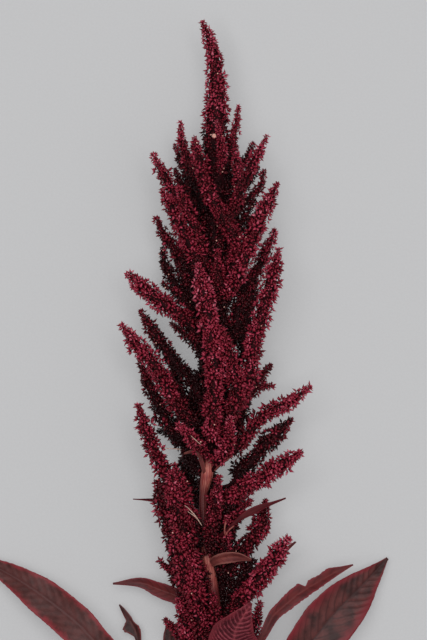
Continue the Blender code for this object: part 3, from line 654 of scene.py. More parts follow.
@dataclass(frozen=True)
class FloretBracts:
    """Dry, papery bracts of the florets, packed in clusters.

    The eye gets a broken, speckled crimson: each bract is a little other in tone, its foot is
    painted dark as shade and its pointed tip is painted lighter and pinker as a highlight, with a
    faint real sheen.
    """

    stops: tuple[tuple[float, str], ...] = ((0.0, "#220508"), (0.22, "#510c16"), (0.48, "#81192c"),
                                            (0.75, "#a8374e"), (1.0, "#d07484"))
    # painted shade at each bract's foot, mixed out towards its tip
    foot: str = "#220305"
    # Bracts carry fine lengthwise nerves about 0.15 mm apart, drawn at 0.4 mm so that they show
    nerve_mm: float = 0.4
    sheen: float = 0.22

    def make(self) -> bpy.types.Material:
        """Build the material. The mark holds a floret's tone and the place along a bract, which mixes the
        painted foot shade out towards the tip.
        """
        material, tree, shader = new_material("floret_bracts_crimson")
        mark = mark_parts(tree)
        tone = ramp_colour(tree, mark["X"], self.stops)
        # painted shade: the bract is mixed from its dark foot to its tone along its length
        along = spread_value(tree, mark["Y"], from_min=0.05, from_max=0.5)
        nerves = noise(tree, self.nerve_mm)
        feed(tree, shader, {
            "Base Color": mixed_colour(tree, along, self.foot, tone),
            "Roughness": spread_value(tree, nerves, to_min=0.32, to_max=0.52),
            "Normal": relief(tree, nerves, 0.35, 0.1),
            "Specular IOR Level": arithmetic(tree, "MULTIPLY", along, self.sheen)})
        return material


@dataclass(frozen=True)
class SpikeAxis:
    """Fleshy axis of a spike, wine red, painted almost black as the shade between the florets, where
    alone it shows.
    """

    # painted shade: both colours are near black, as the shade between the florets
    dark: str = "#120203"
    light: str = "#2e060d"
    grain_mm: float = 2.0

    def make(self) -> bpy.types.Material:
        """Build the material."""
        material, tree, shader = new_material("spike_axis_wine_painted_shade")
        flesh = ramp_colour(tree, noise(tree, self.grain_mm, 3.0), ((0.35, self.dark), (0.7, self.light)))
        feed(tree, shader, {"Base Color": flesh, "Roughness": 0.7, "Specular IOR Level": 0.08})
        return material


@dataclass(frozen=True)
class SeedCoat:
    """Ripe utricle with its seed showing: a smooth, pale peach grain that glints.

    A dried thread of a shed leaf has the same pale, smooth coat.
    """

    name: str = "seed_coat_peach"
    dark: str = "#b87468"
    light: str = "#e8b8a8"
    blotch_mm: float = 0.7

    def make(self) -> bpy.types.Material:
        """Build the material."""
        material, tree, shader = new_material(self.name)
        coat = ramp_colour(tree, noise(tree, self.blotch_mm), ((0.4, self.dark), (0.6, self.light)))
        feed(tree, shader, {"Base Color": coat, "Roughness": 0.3})
        return material


@dataclass(frozen=True)
class StemSkin:
    """Fresh herbaceous stem: a satin skin over long fibres, pink where light falls.

    The eye gets fine lengthwise streaks from ribs and fibres, and slow patches of darker red.
    Where florets stand over the stem, a dark wine red is painted in as shade.
    """

    dark: str = "#5a1c1f"
    middle: str = "#98423e"
    light: str = "#c87c6c"
    # painted shade where florets stand over the stem
    painted_shade: str = "#3c0f14"
    # Fibres lie about 0.35 mm apart across the stem, drawn at 0.6 mm, and run for 20 mm or more
    fibre_mm: float = 0.6
    run_mm: float = 22.0
    patch_mm: float = 14.0

    def make(self) -> bpy.types.Material:
        """Build the material. The mark's third number is the share of painted shade."""
        material, tree, shader = new_material("stem_skin_rose_brown")
        stretch = add_node(tree, "ShaderNodeMapping", links={"Vector": object_place(tree)})
        across, along = 1.0 / (self.fibre_mm * MM), 1.0 / (self.run_mm * MM)
        stretch.inputs["Scale"].default_value = (across, along, across)
        fibre = add_node(tree, "ShaderNodeTexNoise", {"Scale": 1.0, "Detail": 3.0},
                         {"Vector": stretch.outputs[0]}).outputs[0]
        patch = noise(tree, self.patch_mm)
        streaks = arithmetic(tree, "MULTIPLY", arithmetic(tree, "ADD", fibre, patch), 0.5)
        skin = ramp_colour(tree, streaks, ((0.36, self.dark), (0.5, self.middle), (0.64, self.light)))
        feed(tree, shader, {
            "Base Color": mixed_colour(tree, mark_parts(tree)["Z"], skin, self.painted_shade),
            "Roughness": spread_value(tree, patch, to_min=0.34, to_max=0.55),
            "Normal": relief(tree, fibre, 0.5, 0.2),
            "Specular IOR Level": 0.25})
        return material


@dataclass(frozen=True)
class CutPith:
    """Cut face of the stem: moist pale pith with darker fibre ends in a ring."""

    pith: str = "#cfae98"
    ring: str = "#9a5a58"
    fibre_mm: float = 0.5

    def make(self) -> bpy.types.Material:
        """Build the material. The mark's first number is the share of the radius."""
        material, tree, shader = new_material("cut_pith_pale")
        fibres = add_node(tree, "ShaderNodeTexVoronoi", {"Scale": 1.0 / (self.fibre_mm * MM)},
                          {"Vector": object_place(tree)}).outputs["Distance"]
        speck = arithmetic(tree, "MULTIPLY_ADD", fibres, 0.3, mark_parts(tree)["X"])
        face = ramp_colour(tree, speck, ((0.55, self.pith), (0.95, self.ring)))
        feed(tree, shader, {"Base Color": face, "Roughness": 0.5})
        return material


@dataclass(frozen=True)
class LeafBlade:
    """Amaranth leaf coloured by betacyanin: satin, thin and puckered between its veins.

    The eye gets a dark brown-purple field that breaks into blotches between the side veins, a
    redder rim, and a midrib that is paler in most tints. The side veins, and the midrib of the old
    purple tints, are drawn darker than the field: their own colour with painted shade in the creases
    along them; the young rose leaf's pale veins are a painted highlight on their raised tops.
    """

    name: str
    field: str
    blotch: str
    rim: str
    # the midrib's own colour; in the old purple tints darker, with painted shade along it
    midrib: str
    # the side veins' own colour with painted shade in the creases along them; in the rose tint pale, a
    # painted highlight on raised veins
    vein: str
    # Cells and hairs are too fine to show; blotches follow the fields between veins, 3 to 9 mm
    blotch_mm: float = 8.0
    # Share of the distance between two side veins that a vein's line takes
    vein_share: float = 0.12
    vein_depth: float = 0.65
    vein_wander: float = 0.7
    sheen: float = 0.25
    grain_mm: float = 0.8
    rim_from: float = 0.62

    def rimmed_field(self, tree: bpy.types.NodeTree, blotches: bpy.types.NodeSocket,
                     edge: bpy.types.NodeSocket) -> bpy.types.NodeSocket:
        """Colour of the blotched field with its ragged rim."""
        blade = ramp_colour(tree, blotches, ((0.38, self.blotch), (0.6, self.field)))
        ragged = arithmetic(tree, "MULTIPLY_ADD", blotches, 0.5, edge)
        rim = spread_value(tree, ragged, from_min=self.rim_from + 0.2, from_max=1.25,
                           interpolation_type="SMOOTHSTEP")
        return mixed_colour(tree, rim, blade, self.rim)

    def side_veins(self, tree: bpy.types.NodeTree, blotches: bpy.types.NodeSocket,
                   edge: bpy.types.NodeSocket, counted: bpy.types.NodeSocket
                   ) -> bpy.types.NodeSocket:
        """Share of the vein's colour: a wandering line at each whole count, faint in places."""
        wander = arithmetic(tree, "MULTIPLY_ADD", blotches, self.vein_wander, counted)
        line = spread_value(tree, arithmetic(tree, "PINGPONG", wander, 0.5),
                            from_min=self.vein_share, from_max=0.25 * self.vein_share,
                            interpolation_type="SMOOTHSTEP")
        inside = spread_value(tree, edge, from_min=1.0, from_max=0.6, to_max=self.vein_depth)
        faint = spread_value(tree, blotches, from_min=0.3, from_max=0.6, to_min=0.35)
        return arithmetic(tree, "MULTIPLY", arithmetic(tree, "MULTIPLY", line, inside), faint)

    def make(self) -> bpy.types.Material:
        """Build the material. The mark holds across (-1 to 1), side veins counted and midrib."""
        material, tree, shader = new_material(self.name)
        mark = mark_parts(tree)
        blotches = noise(tree, self.blotch_mm, 3.0)
        edge = arithmetic(tree, "ABSOLUTE", mark["X"])
        blade = self.rimmed_field(tree, blotches, edge)
        ribbed = mixed_colour(tree, mark["Z"], blade, self.midrib)
        veins = self.side_veins(tree, blotches, edge, mark["Y"])
        grain = noise(tree, self.grain_mm, 3.0)
        feed(tree, shader, {
            "Base Color": mixed_colour(tree, veins, ribbed, self.vein),
            "Roughness": spread_value(tree, grain, to_min=0.42, to_max=0.62),
            "Normal": relief(tree, grain, 0.4, 0.15),
            "Specular IOR Level": self.sheen})
        return material


@dataclass(frozen=True)
class StudioPaper:
    """Matt pale grey paper that the plant lies on, over a light panel.

    The eye gets an even grey with faint, soft shadows, as some of its light comes through it.
    """

    light: str = "#989899"
    dark: str = "#949495"
    glow: str = "#c4c4c5"
    glow_strength: float = 0.42
    tooth_mm: float = 1.2

    def make(self) -> bpy.types.Material:
        """Build the material."""
        material, tree, shader = new_material("studio_paper_grey")
        paper = ramp_colour(tree, noise(tree, self.tooth_mm), ((0.3, self.dark), (0.7, self.light)))
        feed(tree, shader, {"Base Color": paper, "Roughness": 0.9, "Specular IOR Level": 0.2,
                            "Emission Strength": self.glow_strength})
        shader.inputs["Emission Color"].default_value = linear(self.glow)
        return material


class LeafTint(Enum):
    """The leaves' colourings, from the darkest old ones to the youngest."""

    PURPLE = LeafBlade("leaf_old_purple_brown", "#542a28", "#43201e", "#80282f", "#4c2423", "#331616",
                       blotch_mm=4.0, vein_depth=0.12, rim_from=0.7)
    GREYED = LeafBlade("leaf_old_greyed_purple", "#582a28", "#301514", "#721c25", "#331414", "#280e0f",
                       blotch_mm=9.0, vein_share=0.16, vein_depth=0.5, rim_from=0.56)
    ROSE = LeafBlade("leaf_young_rose", "#5c1824", "#450f19", "#70222c", "#8c3d45", "#a04c56",
                     blotch_mm=3.0, vein_share=0.2, vein_wander=0.3, sheen=0.2)
    RED = LeafBlade("leaf_red_brown", "#602021", "#46171a", "#74262e", "#662928", "#431517", sheen=0.2)
    WINE = LeafBlade("leaf_dark_wine", "#4e1219", "#3a0c12", "#621c24", "#622624", "#300a0e", sheen=0.08)
    TAN = LeafBlade("leaf_stalk_tan", "#6e3532", "#542526", "#86504a", "#763c36", "#502322", sheen=0.15)
    BROWN = LeafBlade("leaf_dry_brown", "#421e1e", "#2f1515", "#702d2e", "#582d2a", "#261010")


@dataclass(frozen=True)
class Leaf:
    """A leaf: its node in the frame, its midrib, widths and the looks of its blade.

    midrib holds points from the stem to the tip. widths holds (share of the length, half width
    left of the way to the tip, half width right of it). roll turns the blade about its midrib in
    degrees, at the base and at the tip; fold lifts the blade's edges. veins is the distance
    between side veins, pucker the height of the blade between them, wave that of its margin, and
    torn how far its edge is ragged.
    """

    name: str
    midrib: Rows
    widths: Rows
    tint: LeafTint
    roll: tuple[float, float] = (0.0, 0.0)
    fold: float = 0.25
    petiole: float = 1.0
    veins: float = 5.0
    pucker: float = 0.3
    wave: float = 0.5
    torn: float = 0.0
    columns: int = 36


LEAVES: tuple[Leaf, ...] = (
    Leaf("leaf_curled",
         ((-4, -54, 30), (-6, -46, 35), (-8, -41, 37), (-12, -39.5, 37), (-16, -40.5, 36)),
         ((0, 1.1, 1.1), (0.4, 1.1, 1.1), (0.75, 1.2, 1.2), (1, 0.3, 0.3)),
         LeafTint.TAN, fold=0.5, petiole=0.9, wave=0.1, pucker=0.05),
    Leaf("leaf_left_thin",
         ((-5, -74, 28.5), (-16, -70, 21), (-30, -66.5, 19.5), (-44, -65.5, 19.5)),
         ((0, 0.9, 0.9), (0.35, 1.2, 1.2), (0.6, 1.9, 1.9), (0.85, 0.8, 0.8), (1, 0.15, 0.15)),
         LeafTint.WINE, roll=(50, 60), fold=0.3, wave=0.2, pucker=0.05),
    Leaf("leaf_right_small",
         ((-3, -91, 27), (6, -84, 35), (15, -76, 37), (25, -70.5, 37), (32, -68, 36),
          (40, -65, 35)),
         ((0, 0.8, 0.8), (0.44, 0.9, 0.9), (0.55, 1.9, 1.7), (0.68, 2.1, 2.1), (0.8, 1.1, 1.0),
          (1, 0.4, 0.4)),
         LeafTint.WINE, roll=(0, 10), wave=0.2, pucker=0.1, veins=4.0),
    Leaf("leaf_front_small",
         ((-2, -102, 26), (3, -98.5, 33), (12, -97, 35), (21, -99, 33)),
         ((0, 1.4, 1.4), (0.3, 3.0, 3.0), (0.6, 3.7, 3.7), (0.85, 2.4, 2.4), (1, 0.4, 0.4)),
         LeafTint.TAN, roll=(0, 20), wave=0.2, pucker=0.1, veins=4.0),
    Leaf("leaf_left_mid",
         ((0, -126, 22.5), (-8, -123, 14), (-19, -119, 11), (-30, -115, 11), (-40, -111.5, 11),
          (-55, -112, 9)),
         ((0, 1.1, 1.1), (0.2, 1.4, 1.4), (0.4, 4.6, 4.4), (0.55, 4.6, 4.2), (0.8, 2.2, 2.6),
          (1, 0.4, 0.4)),
         LeafTint.RED, roll=(0, 6), wave=0.3, pucker=0.15, veins=4.5),
    Leaf("leaf_left_torn",
         ((0, -170, 15.5), (-20, -165, 8), (-34, -155, 6), (-40.2, -146, 6), (-42, -139.5, 6),
          (-44.5, -134, 6), (-47.5, -129, 6), (-51.5, -123.5, 6)),
         ((0, 1.1, 1.1), (0.5, 1.2, 1.2), (0.68, 1.2, 1.7), (0.73, 1.6, 2.4), (0.775, 4.0, 3.1),
          (0.8, 5.3, 3.2), (0.83, 6.2, 1.7), (0.85, 4.2, 1.3), (0.87, 2.1, 1.6), (0.92, 1.8, 1.3),
          (0.96, 1.2, 1.0), (1, 0.4, 0.4)),
         LeafTint.BROWN, roll=(0, -8), torn=0.3, pucker=0.15),
    Leaf("leaf_left_large",
         ((2, -180, 14), (-14, -177, 17.5), (-35, -168, 20), (-62, -146.5, 19), (-75, -133.5, 17),
          (-96, -117.2, 13), (-117, -104.2, 8), (-140, -94, 4)),
         ((0, 1.3, 1.3), (0.2, 1.6, 1.6), (0.27, 3.0, 3.0), (0.42, 10.8, 8.0), (0.54, 11.8, 9.8),
          (0.69, 10.4, 9.8), (0.84, 5.2, 5.4), (0.93, 2.3, 2.3), (1, 0.4, 0.4)),
         LeafTint.PURPLE, roll=(0, 8), veins=6.4, pucker=0.12, wave=0.9, columns=48),
    Leaf("leaf_right_torn",
         ((4, -170, 16), (14, -160, 22), (22, -150, 25), (28, -140, 26), (33, -130, 26),
          (40, -123.5, 26), (48, -117, 24), (58, -111, 21), (67, -106, 18), (77, -101.6, 15)),
         ((0, 1.2, 1.2), (0.26, 1.4, 1.4), (0.38, 2.2, 2.2), (0.49, 3.0, 3.2), (0.58, 4.2, 3.8),
          (0.66, 4.8, 4.2), (0.695, 4.8, 4.2), (0.72, 1.4, 4.0), (0.75, 3.6, 3.8), (0.81, 3.2, 3.2),
          (0.87, 4.0, 2.6), (0.93, 1.9, 1.6), (1, 0.4, 0.4)),
         LeafTint.RED, roll=(0, -5), torn=0.1, wave=0.3, pucker=0.1, veins=9.0),
    Leaf("leaf_right_large",
         ((4, -183, 14), (20, -176, 16), (40, -160, 17), (56, -142, 16), (63, -133, 15),
          (71, -124, 14), (80, -115, 11), (96, -98, 5)),
         ((0, 1.3, 1.3), (0.2, 1.7, 1.7), (0.34, 8.6, 9.0), (0.45, 12.4, 13.0), (0.53, 14.0, 14.8),
          (0.62, 14.4, 15.2), (0.72, 13.2, 13.8), (0.81, 10.2, 10.4), (0.9, 5.6, 5.8),
          (0.96, 2.4, 2.6), (1, 0.4, 0.4)),
         LeafTint.GREYED, roll=(0, 6), veins=6.0, pucker=0.3, wave=0.8, columns=56),
    Leaf("leaf_right_back",
         ((1, -136, 21), (10, -127, 13), (20, -114, 11), (30, -101.5, 12), (38, -95, 13),
          (45.5, -89, 14)),
         ((0, 1.1, 1.1), (0.25, 1.4, 1.4), (0.5, 4.4, 4.4), (0.7, 4.6, 4.6), (0.86, 1.6, 1.6),
          (1, 0.4, 0.4)),
         LeafTint.RED, wave=0.2, pucker=0.15),
    Leaf("leaf_front_large",
         ((3, -180, 14.5), (5, -174, 21), (8, -160, 29), (11, -146, 38), (12.6, -137, 45),
          (15.6, -131.6, 50), (20.9, -122.6, 54)),
         ((0, 1.3, 1.3), (0.18, 1.7, 1.7), (0.36, 9.0, 9.0), (0.5, 13.5, 13.5), (0.66, 14.0, 14.0),
          (0.78, 12.0, 11.0), (0.88, 7.4, 5.6), (0.95, 3.0, 2.2), (1, 0.4, 0.4)),
         LeafTint.ROSE, roll=(0, 4), fold=0.2, veins=3.6, pucker=1.3, wave=0.6, columns=76),
    Leaf("leaf_left_back",
         ((2, -164, 16.8), (-8, -164, 9), (-17, -157, 5), (-22.5, -147, 4.5), (-24, -135, 4.5)),
         ((0, 1.1, 1.1), (0.35, 1.4, 1.4), (0.6, 4.0, 4.0), (0.88, 4.2, 4.2), (1, 1.8, 1.8)),
         LeafTint.BROWN, wave=0.2, pucker=0.15),
)


@dataclass
class LeafSet:
    """All leaves, each a thin closed blade on its stalk, in place of the plain ones."""

    leaves: tuple[Leaf, ...] = LEAVES
    step: float = 0.6
    thickness: float = 0.45
    # Half widths of a side vein, of the midrib, and of a stalk before it widens to a blade
    vein_half: float = 0.5
    midrib_half: float = 0.75
    stalk_half: float = 1.2
    # Degrees between the midrib and a side vein
    vein_angle: float = 44.0

    def outline(self, leaf: Leaf, shares: np.ndarray, rng: np.random.Generator) -> np.ndarray:
        """Half widths left and right of the midrib at shares of its length.

        Args:
            leaf: the leaf.
            shares: places along the midrib, from 0 to 1.
            rng: the source of the torn edge's raggedness.

        Returns:
            Two columns of half widths, in millimetres.
        """
        rows = np.array(leaf.widths)
        sides = []
        for column in (1, 2):
            width = np.interp(shares, rows[:, 0], rows[:, column])
            if not leaf.torn:
                reach = 12
                window = np.hanning(2 * reach + 1)
                soft = np.convolve(np.pad(width, reach, mode="edge"), window, "same")
                width = soft[reach:-reach] / window.sum()
            rough = np.repeat(rng.uniform(-1.0, 1.0, len(shares) // 2 + 1), 2)[:len(shares)]
            wide = np.clip((width - 1.8) / 2.0, 0.0, 1.0)
            sides.append(width + (leaf.torn * 0.9 + 0.12) * rough * wide)
        return np.stack(sides, axis=1)

    def build_leaf(self, leaf: Leaf, index: int) -> tuple[Pile, np.ndarray]:
        """Make one leaf.

        Args:
            leaf: the leaf.
            index: its place in the list, for the seed.

        Returns:
            The pile, and points on the blade that florets must keep off.
        """
        rng = np.random.default_rng([SEED, 100 + index])
        path = smooth_path([sight_place(point) for point in leaf.midrib], self.step)
        tangent, side, up = frames_along(path)
        shares = np.linspace(0.0, 1.0, len(path))
        length = self.step * (len(path) - 1)
        widths = self.outline(leaf, shares, rng)
        roll = np.radians(leaf.roll[0] + (leaf.roll[1] - leaf.roll[0]) * shares)[:, None]
        across = side * np.cos(roll) + np.cross(tangent, side) * np.sin(roll)
        face = up * np.cos(roll) + np.cross(tangent, up) * np.sin(roll)
        spread = np.clip((widths.max(axis=1) - self.stalk_half) / 2.4, 0.0, 1.0)[:, None]
        u = np.linspace(-1.0, 1.0, leaf.columns // 2 + 1)[None, :]
        half = np.where(u > 0.0, widths[:, :1], widths[:, 1:])
        offset = u * half
        lift = leaf.fold * np.abs(u) ** 1.4 * half * spread
        phase = rng.uniform(0.0, math.tau, 2)
        along = shares[:, None] * length
        slope = 1.0 / math.tan(math.radians(self.vein_angle))
        bend = np.abs(offset) * (1.0 + 0.5 * np.abs(u) ** 2)
        uneven = np.where(u > 0.0, np.sin(along / 9.0 + phase[0]), np.sin(along / 11.0 + phase[1]))
        turn = (along - bend * slope + 1.6 * uneven) / leaf.veins + np.where(u > 0.0, 0.5, 0.0)
        near = np.abs(turn - np.round(turn)) * leaf.veins
        inside = np.clip((1.0 - np.abs(u)) / 0.3, 0.0, 1.0) * spread
        vein = np.exp(-(near / self.vein_half) ** 2) * inside
        midrib = np.exp(-(offset / self.midrib_half) ** 2) * spread
        quilt = (0.5 - 0.5 * np.cos(math.tau * turn)) * inside * np.clip(np.abs(offset) / 2.0, 0.0, 1.0)
        margin = np.where(u > 0.0, np.sin(along / 4.6 + phase[0]), np.sin(along / 5.3 + phase[1]))
        lift += leaf.pucker * quilt + leaf.wave * margin * u ** 2 * spread - 0.35 * midrib * spread
        slim = np.clip((1.0 - shares[:, None]) / 0.35, 0.3, 1.0)
        stalk = leaf.petiole * slim * np.sqrt(np.clip(1.0 - 0.8 * u ** 2, 0.0, 1.0))
        thick = stalk * (1.0 - spread) + self.thickness * 0.5 * spread
        keel = 0.7 * midrib * (1.0 - shares[:, None]) + 0.12 * vein
        across, face = across[:, None, :], face[:, None, :]
        base = path[:, None, :] + across * offset[..., None] + face * lift[..., None]
        upper = base + face * thick[..., None]
        lower = base - face * (thick + keel)[..., None]
        ring = np.concatenate((upper, lower[:, ::-1]), axis=1)
        counted = np.where(spread > 0.4, turn, 0.5)
        mark = np.stack(np.broadcast_arrays(u, counted, 0.8 * midrib), axis=2)
        marks = np.concatenate((mark, mark[:, ::-1]), axis=1)
        ends = np.stack((ring[0].mean(axis=0), ring[-1].mean(axis=0)))
        points = np.concatenate((ring.reshape(-1, 3), ends))
        marks = np.concatenate((marks.reshape(-1, 3), np.array(((0.0, 0.0, 0.0), (0.0, 1.0, 0.0)))))
        pile = Pile()
        pile.add(points, tube_faces(len(path), ring.shape[1])[:, ::-1], marks)
        return pile, base[::2, ::3].reshape(-1, 3)

    def build(self) -> np.ndarray:
        """Make every leaf, dress it and put it in its node's place.

        Returns:
            Points on all the blades, which florets keep off.
        """
        materials = {tint: tint.value.make() for tint in LeafTint}
        guards = []
        for index, leaf in enumerate(self.leaves):
            pile, guard = self.build_leaf(leaf, index)
            piece = pile.build(f"{leaf.name}_blade", [materials[leaf.tint]])
            dress(piece, leaf.name)
            guards.append(guard)
        return np.concatenate(guards)


@dataclass
class Stem:
    """The ribbed stem, from its cut end to where the head hides it."""

    step: float = 0.9
    sides: int = 54
    ribs: int = 9
    rib_depth: float = 0.055
    joints: tuple[float, ...] = (-170.0, -123.0, -99.0, -54.0)
    joint_swell: float = 0.12
    joint_length: float = 6.0
    cut_gap: float = 0.05
    # Share of painted shade on the skin along the plant, where florets stand over it: pale only
    # where the florets leave it open
    shade: Rows = ((-188.0, 0.35), (-140.0, 0.6), (-118.0, 0.8), (-110.0, 0.3), (-98.0, 0.3),
                   (-88.0, 0.9), (-62.0, 0.75), (-55.0, 0.25), (-50.0, 0.0), (-44.0, 0.5))

    def build(self) -> None:
        """Make the stem, dress it and put it in its node's place."""
        path = smooth_path([row[:3] for row in AXIS if row[1] <= STEM_TOP_Y], self.step)
        angle, along = ring_angles(self.sides), path[:, 1][:, None]
        radius = np.array([axis_at(y)[1] for y in path[:, 1]])[:, None]
        swell = sum(np.exp(-((along - y) / self.joint_length) ** 2) for y in self.joints)
        twist = along * 0.004
        ribs = np.abs(np.cos((angle + twist) * self.ribs * 0.5)) ** 0.8
        wander = 0.02 * np.sin(angle * 2.0 + along / 17.0)
        radius = radius * (1.0 - self.rib_depth + self.rib_depth * ribs + wander)
        ring = rings_along(path, radius * (1.0 + self.joint_swell * swell), self.sides)
        points = np.concatenate((ring.reshape(-1, 3), path[:1], path[-1:]))
        marks = np.zeros(points.shape)
        # painted shade: share of the dark colour along the stem
        marks[:-2, 2] = np.repeat(read_row(self.shade, path[:, 1]), self.sides)
        pile = Pile()
        pile.add(points, tube_faces(len(path), self.sides), marks)
        off = frames_along(path)[0][:1] * self.cut_gap
        cut = np.concatenate((path[:1] - off, ring[0] - off))
        cut_marks = np.zeros((self.sides + 1, 3))
        cut_marks[1:, 0] = 1.0
        turn_on = np.arange(self.sides)
        fan = np.stack((0 * turn_on, (turn_on + 1) % self.sides + 1, turn_on + 1), axis=1)
        pile.add(cut, fan, cut_marks, finish=1)
        dress(pile.build("stem_skin", [StemSkin().make(), CutPith().make()]), "stem")


@dataclass
class Cluster:
    """Shapes of one floret cluster: pointed bracts in a dome, in several random kinds."""

    kinds: int = 10
    bract_length: float = 2.65
    bract_width: float = 1.4
    bract_depth: float = 1.05
    dome: float = 0.6
    belly: float = 0.42
    rings: tuple[tuple[int, float], ...] = ((1, 10.0), (5, 57.0))

    def bract(self, rng: np.random.Generator) -> tuple[np.ndarray, np.ndarray, np.ndarray]:
        """One bract along +Z, keeled towards +X: points, triangles and the place along it."""
        length = self.bract_length * rng.uniform(0.7, 1.25)
        width = self.bract_width * rng.uniform(0.85, 1.15) * 0.5
        depth = self.bract_depth * rng.uniform(0.8, 1.2)
        belly = length * self.belly
        back, keel, hook = -0.4 * depth, 0.6 * depth, 0.1 * length
        points = np.array(((0.0, 0.0, 0.0), (0.0, width, belly), (back, 0.0, belly),
                           (0.0, -width, belly), (keel, 0.0, belly), (hook, 0.0, length)))
        faces = np.array([(0, k % 4 + 1, (k + 1) % 4 + 1) for k in range(4)]
                         + [(5, (k + 1) % 4 + 1, k % 4 + 1) for k in range(4)])
        return points, faces, np.array((0.0, 0.5, 0.4, 0.5, 0.6, 1.0))

    def kind(self, index: int) -> tuple[np.ndarray, np.ndarray, np.ndarray]:
        """One kind of cluster, which points along +Z.

        Args:
            index: which kind, for the seed.

        Returns:
            Points, triangles, and for each point the place along its bract and the bract's tone.
        """
        rng = np.random.default_rng([SEED, 200 + index])
        points, faces, places = [], [], []
        for count, tilt in self.rings:
            start = rng.uniform(0.0, math.tau)
            for k in range(count):
                turn = start + math.tau * k / count + rng.uniform(-0.4, 0.4)
                lean = math.radians(tilt + rng.uniform(-16.0, 16.0))
                shape, corners, along = self.bract(rng)
                low, high, east, north = (math.sin(lean), math.cos(lean), math.cos(turn),
                                          math.sin(turn))
                tip = np.array((low * east, low * north, high))
                out = np.array((high * east, high * north, -low))
                frame = np.stack((out, np.cross(tip, out), tip))
                points.append(shape @ frame + tip * self.dome * rng.uniform(0.3, 1.0))
                faces.append(corners + len(along) * len(faces))
                places.append(np.stack((along, np.full(len(along), rng.uniform()))).T)
        return np.concatenate(points), np.concatenate(faces), np.concatenate(places)

    def all_kinds(self) -> list[tuple[np.ndarray, np.ndarray, np.ndarray]]:
        """Every kind of cluster."""
        return [self.kind(index) for index in range(self.kinds)]


@dataclass
class SpikeLine:
    """A spike's centre line with its radius, ready to be covered with florets."""

    spike: Spike
    path: np.ndarray
    radius: np.ndarray
    length: float


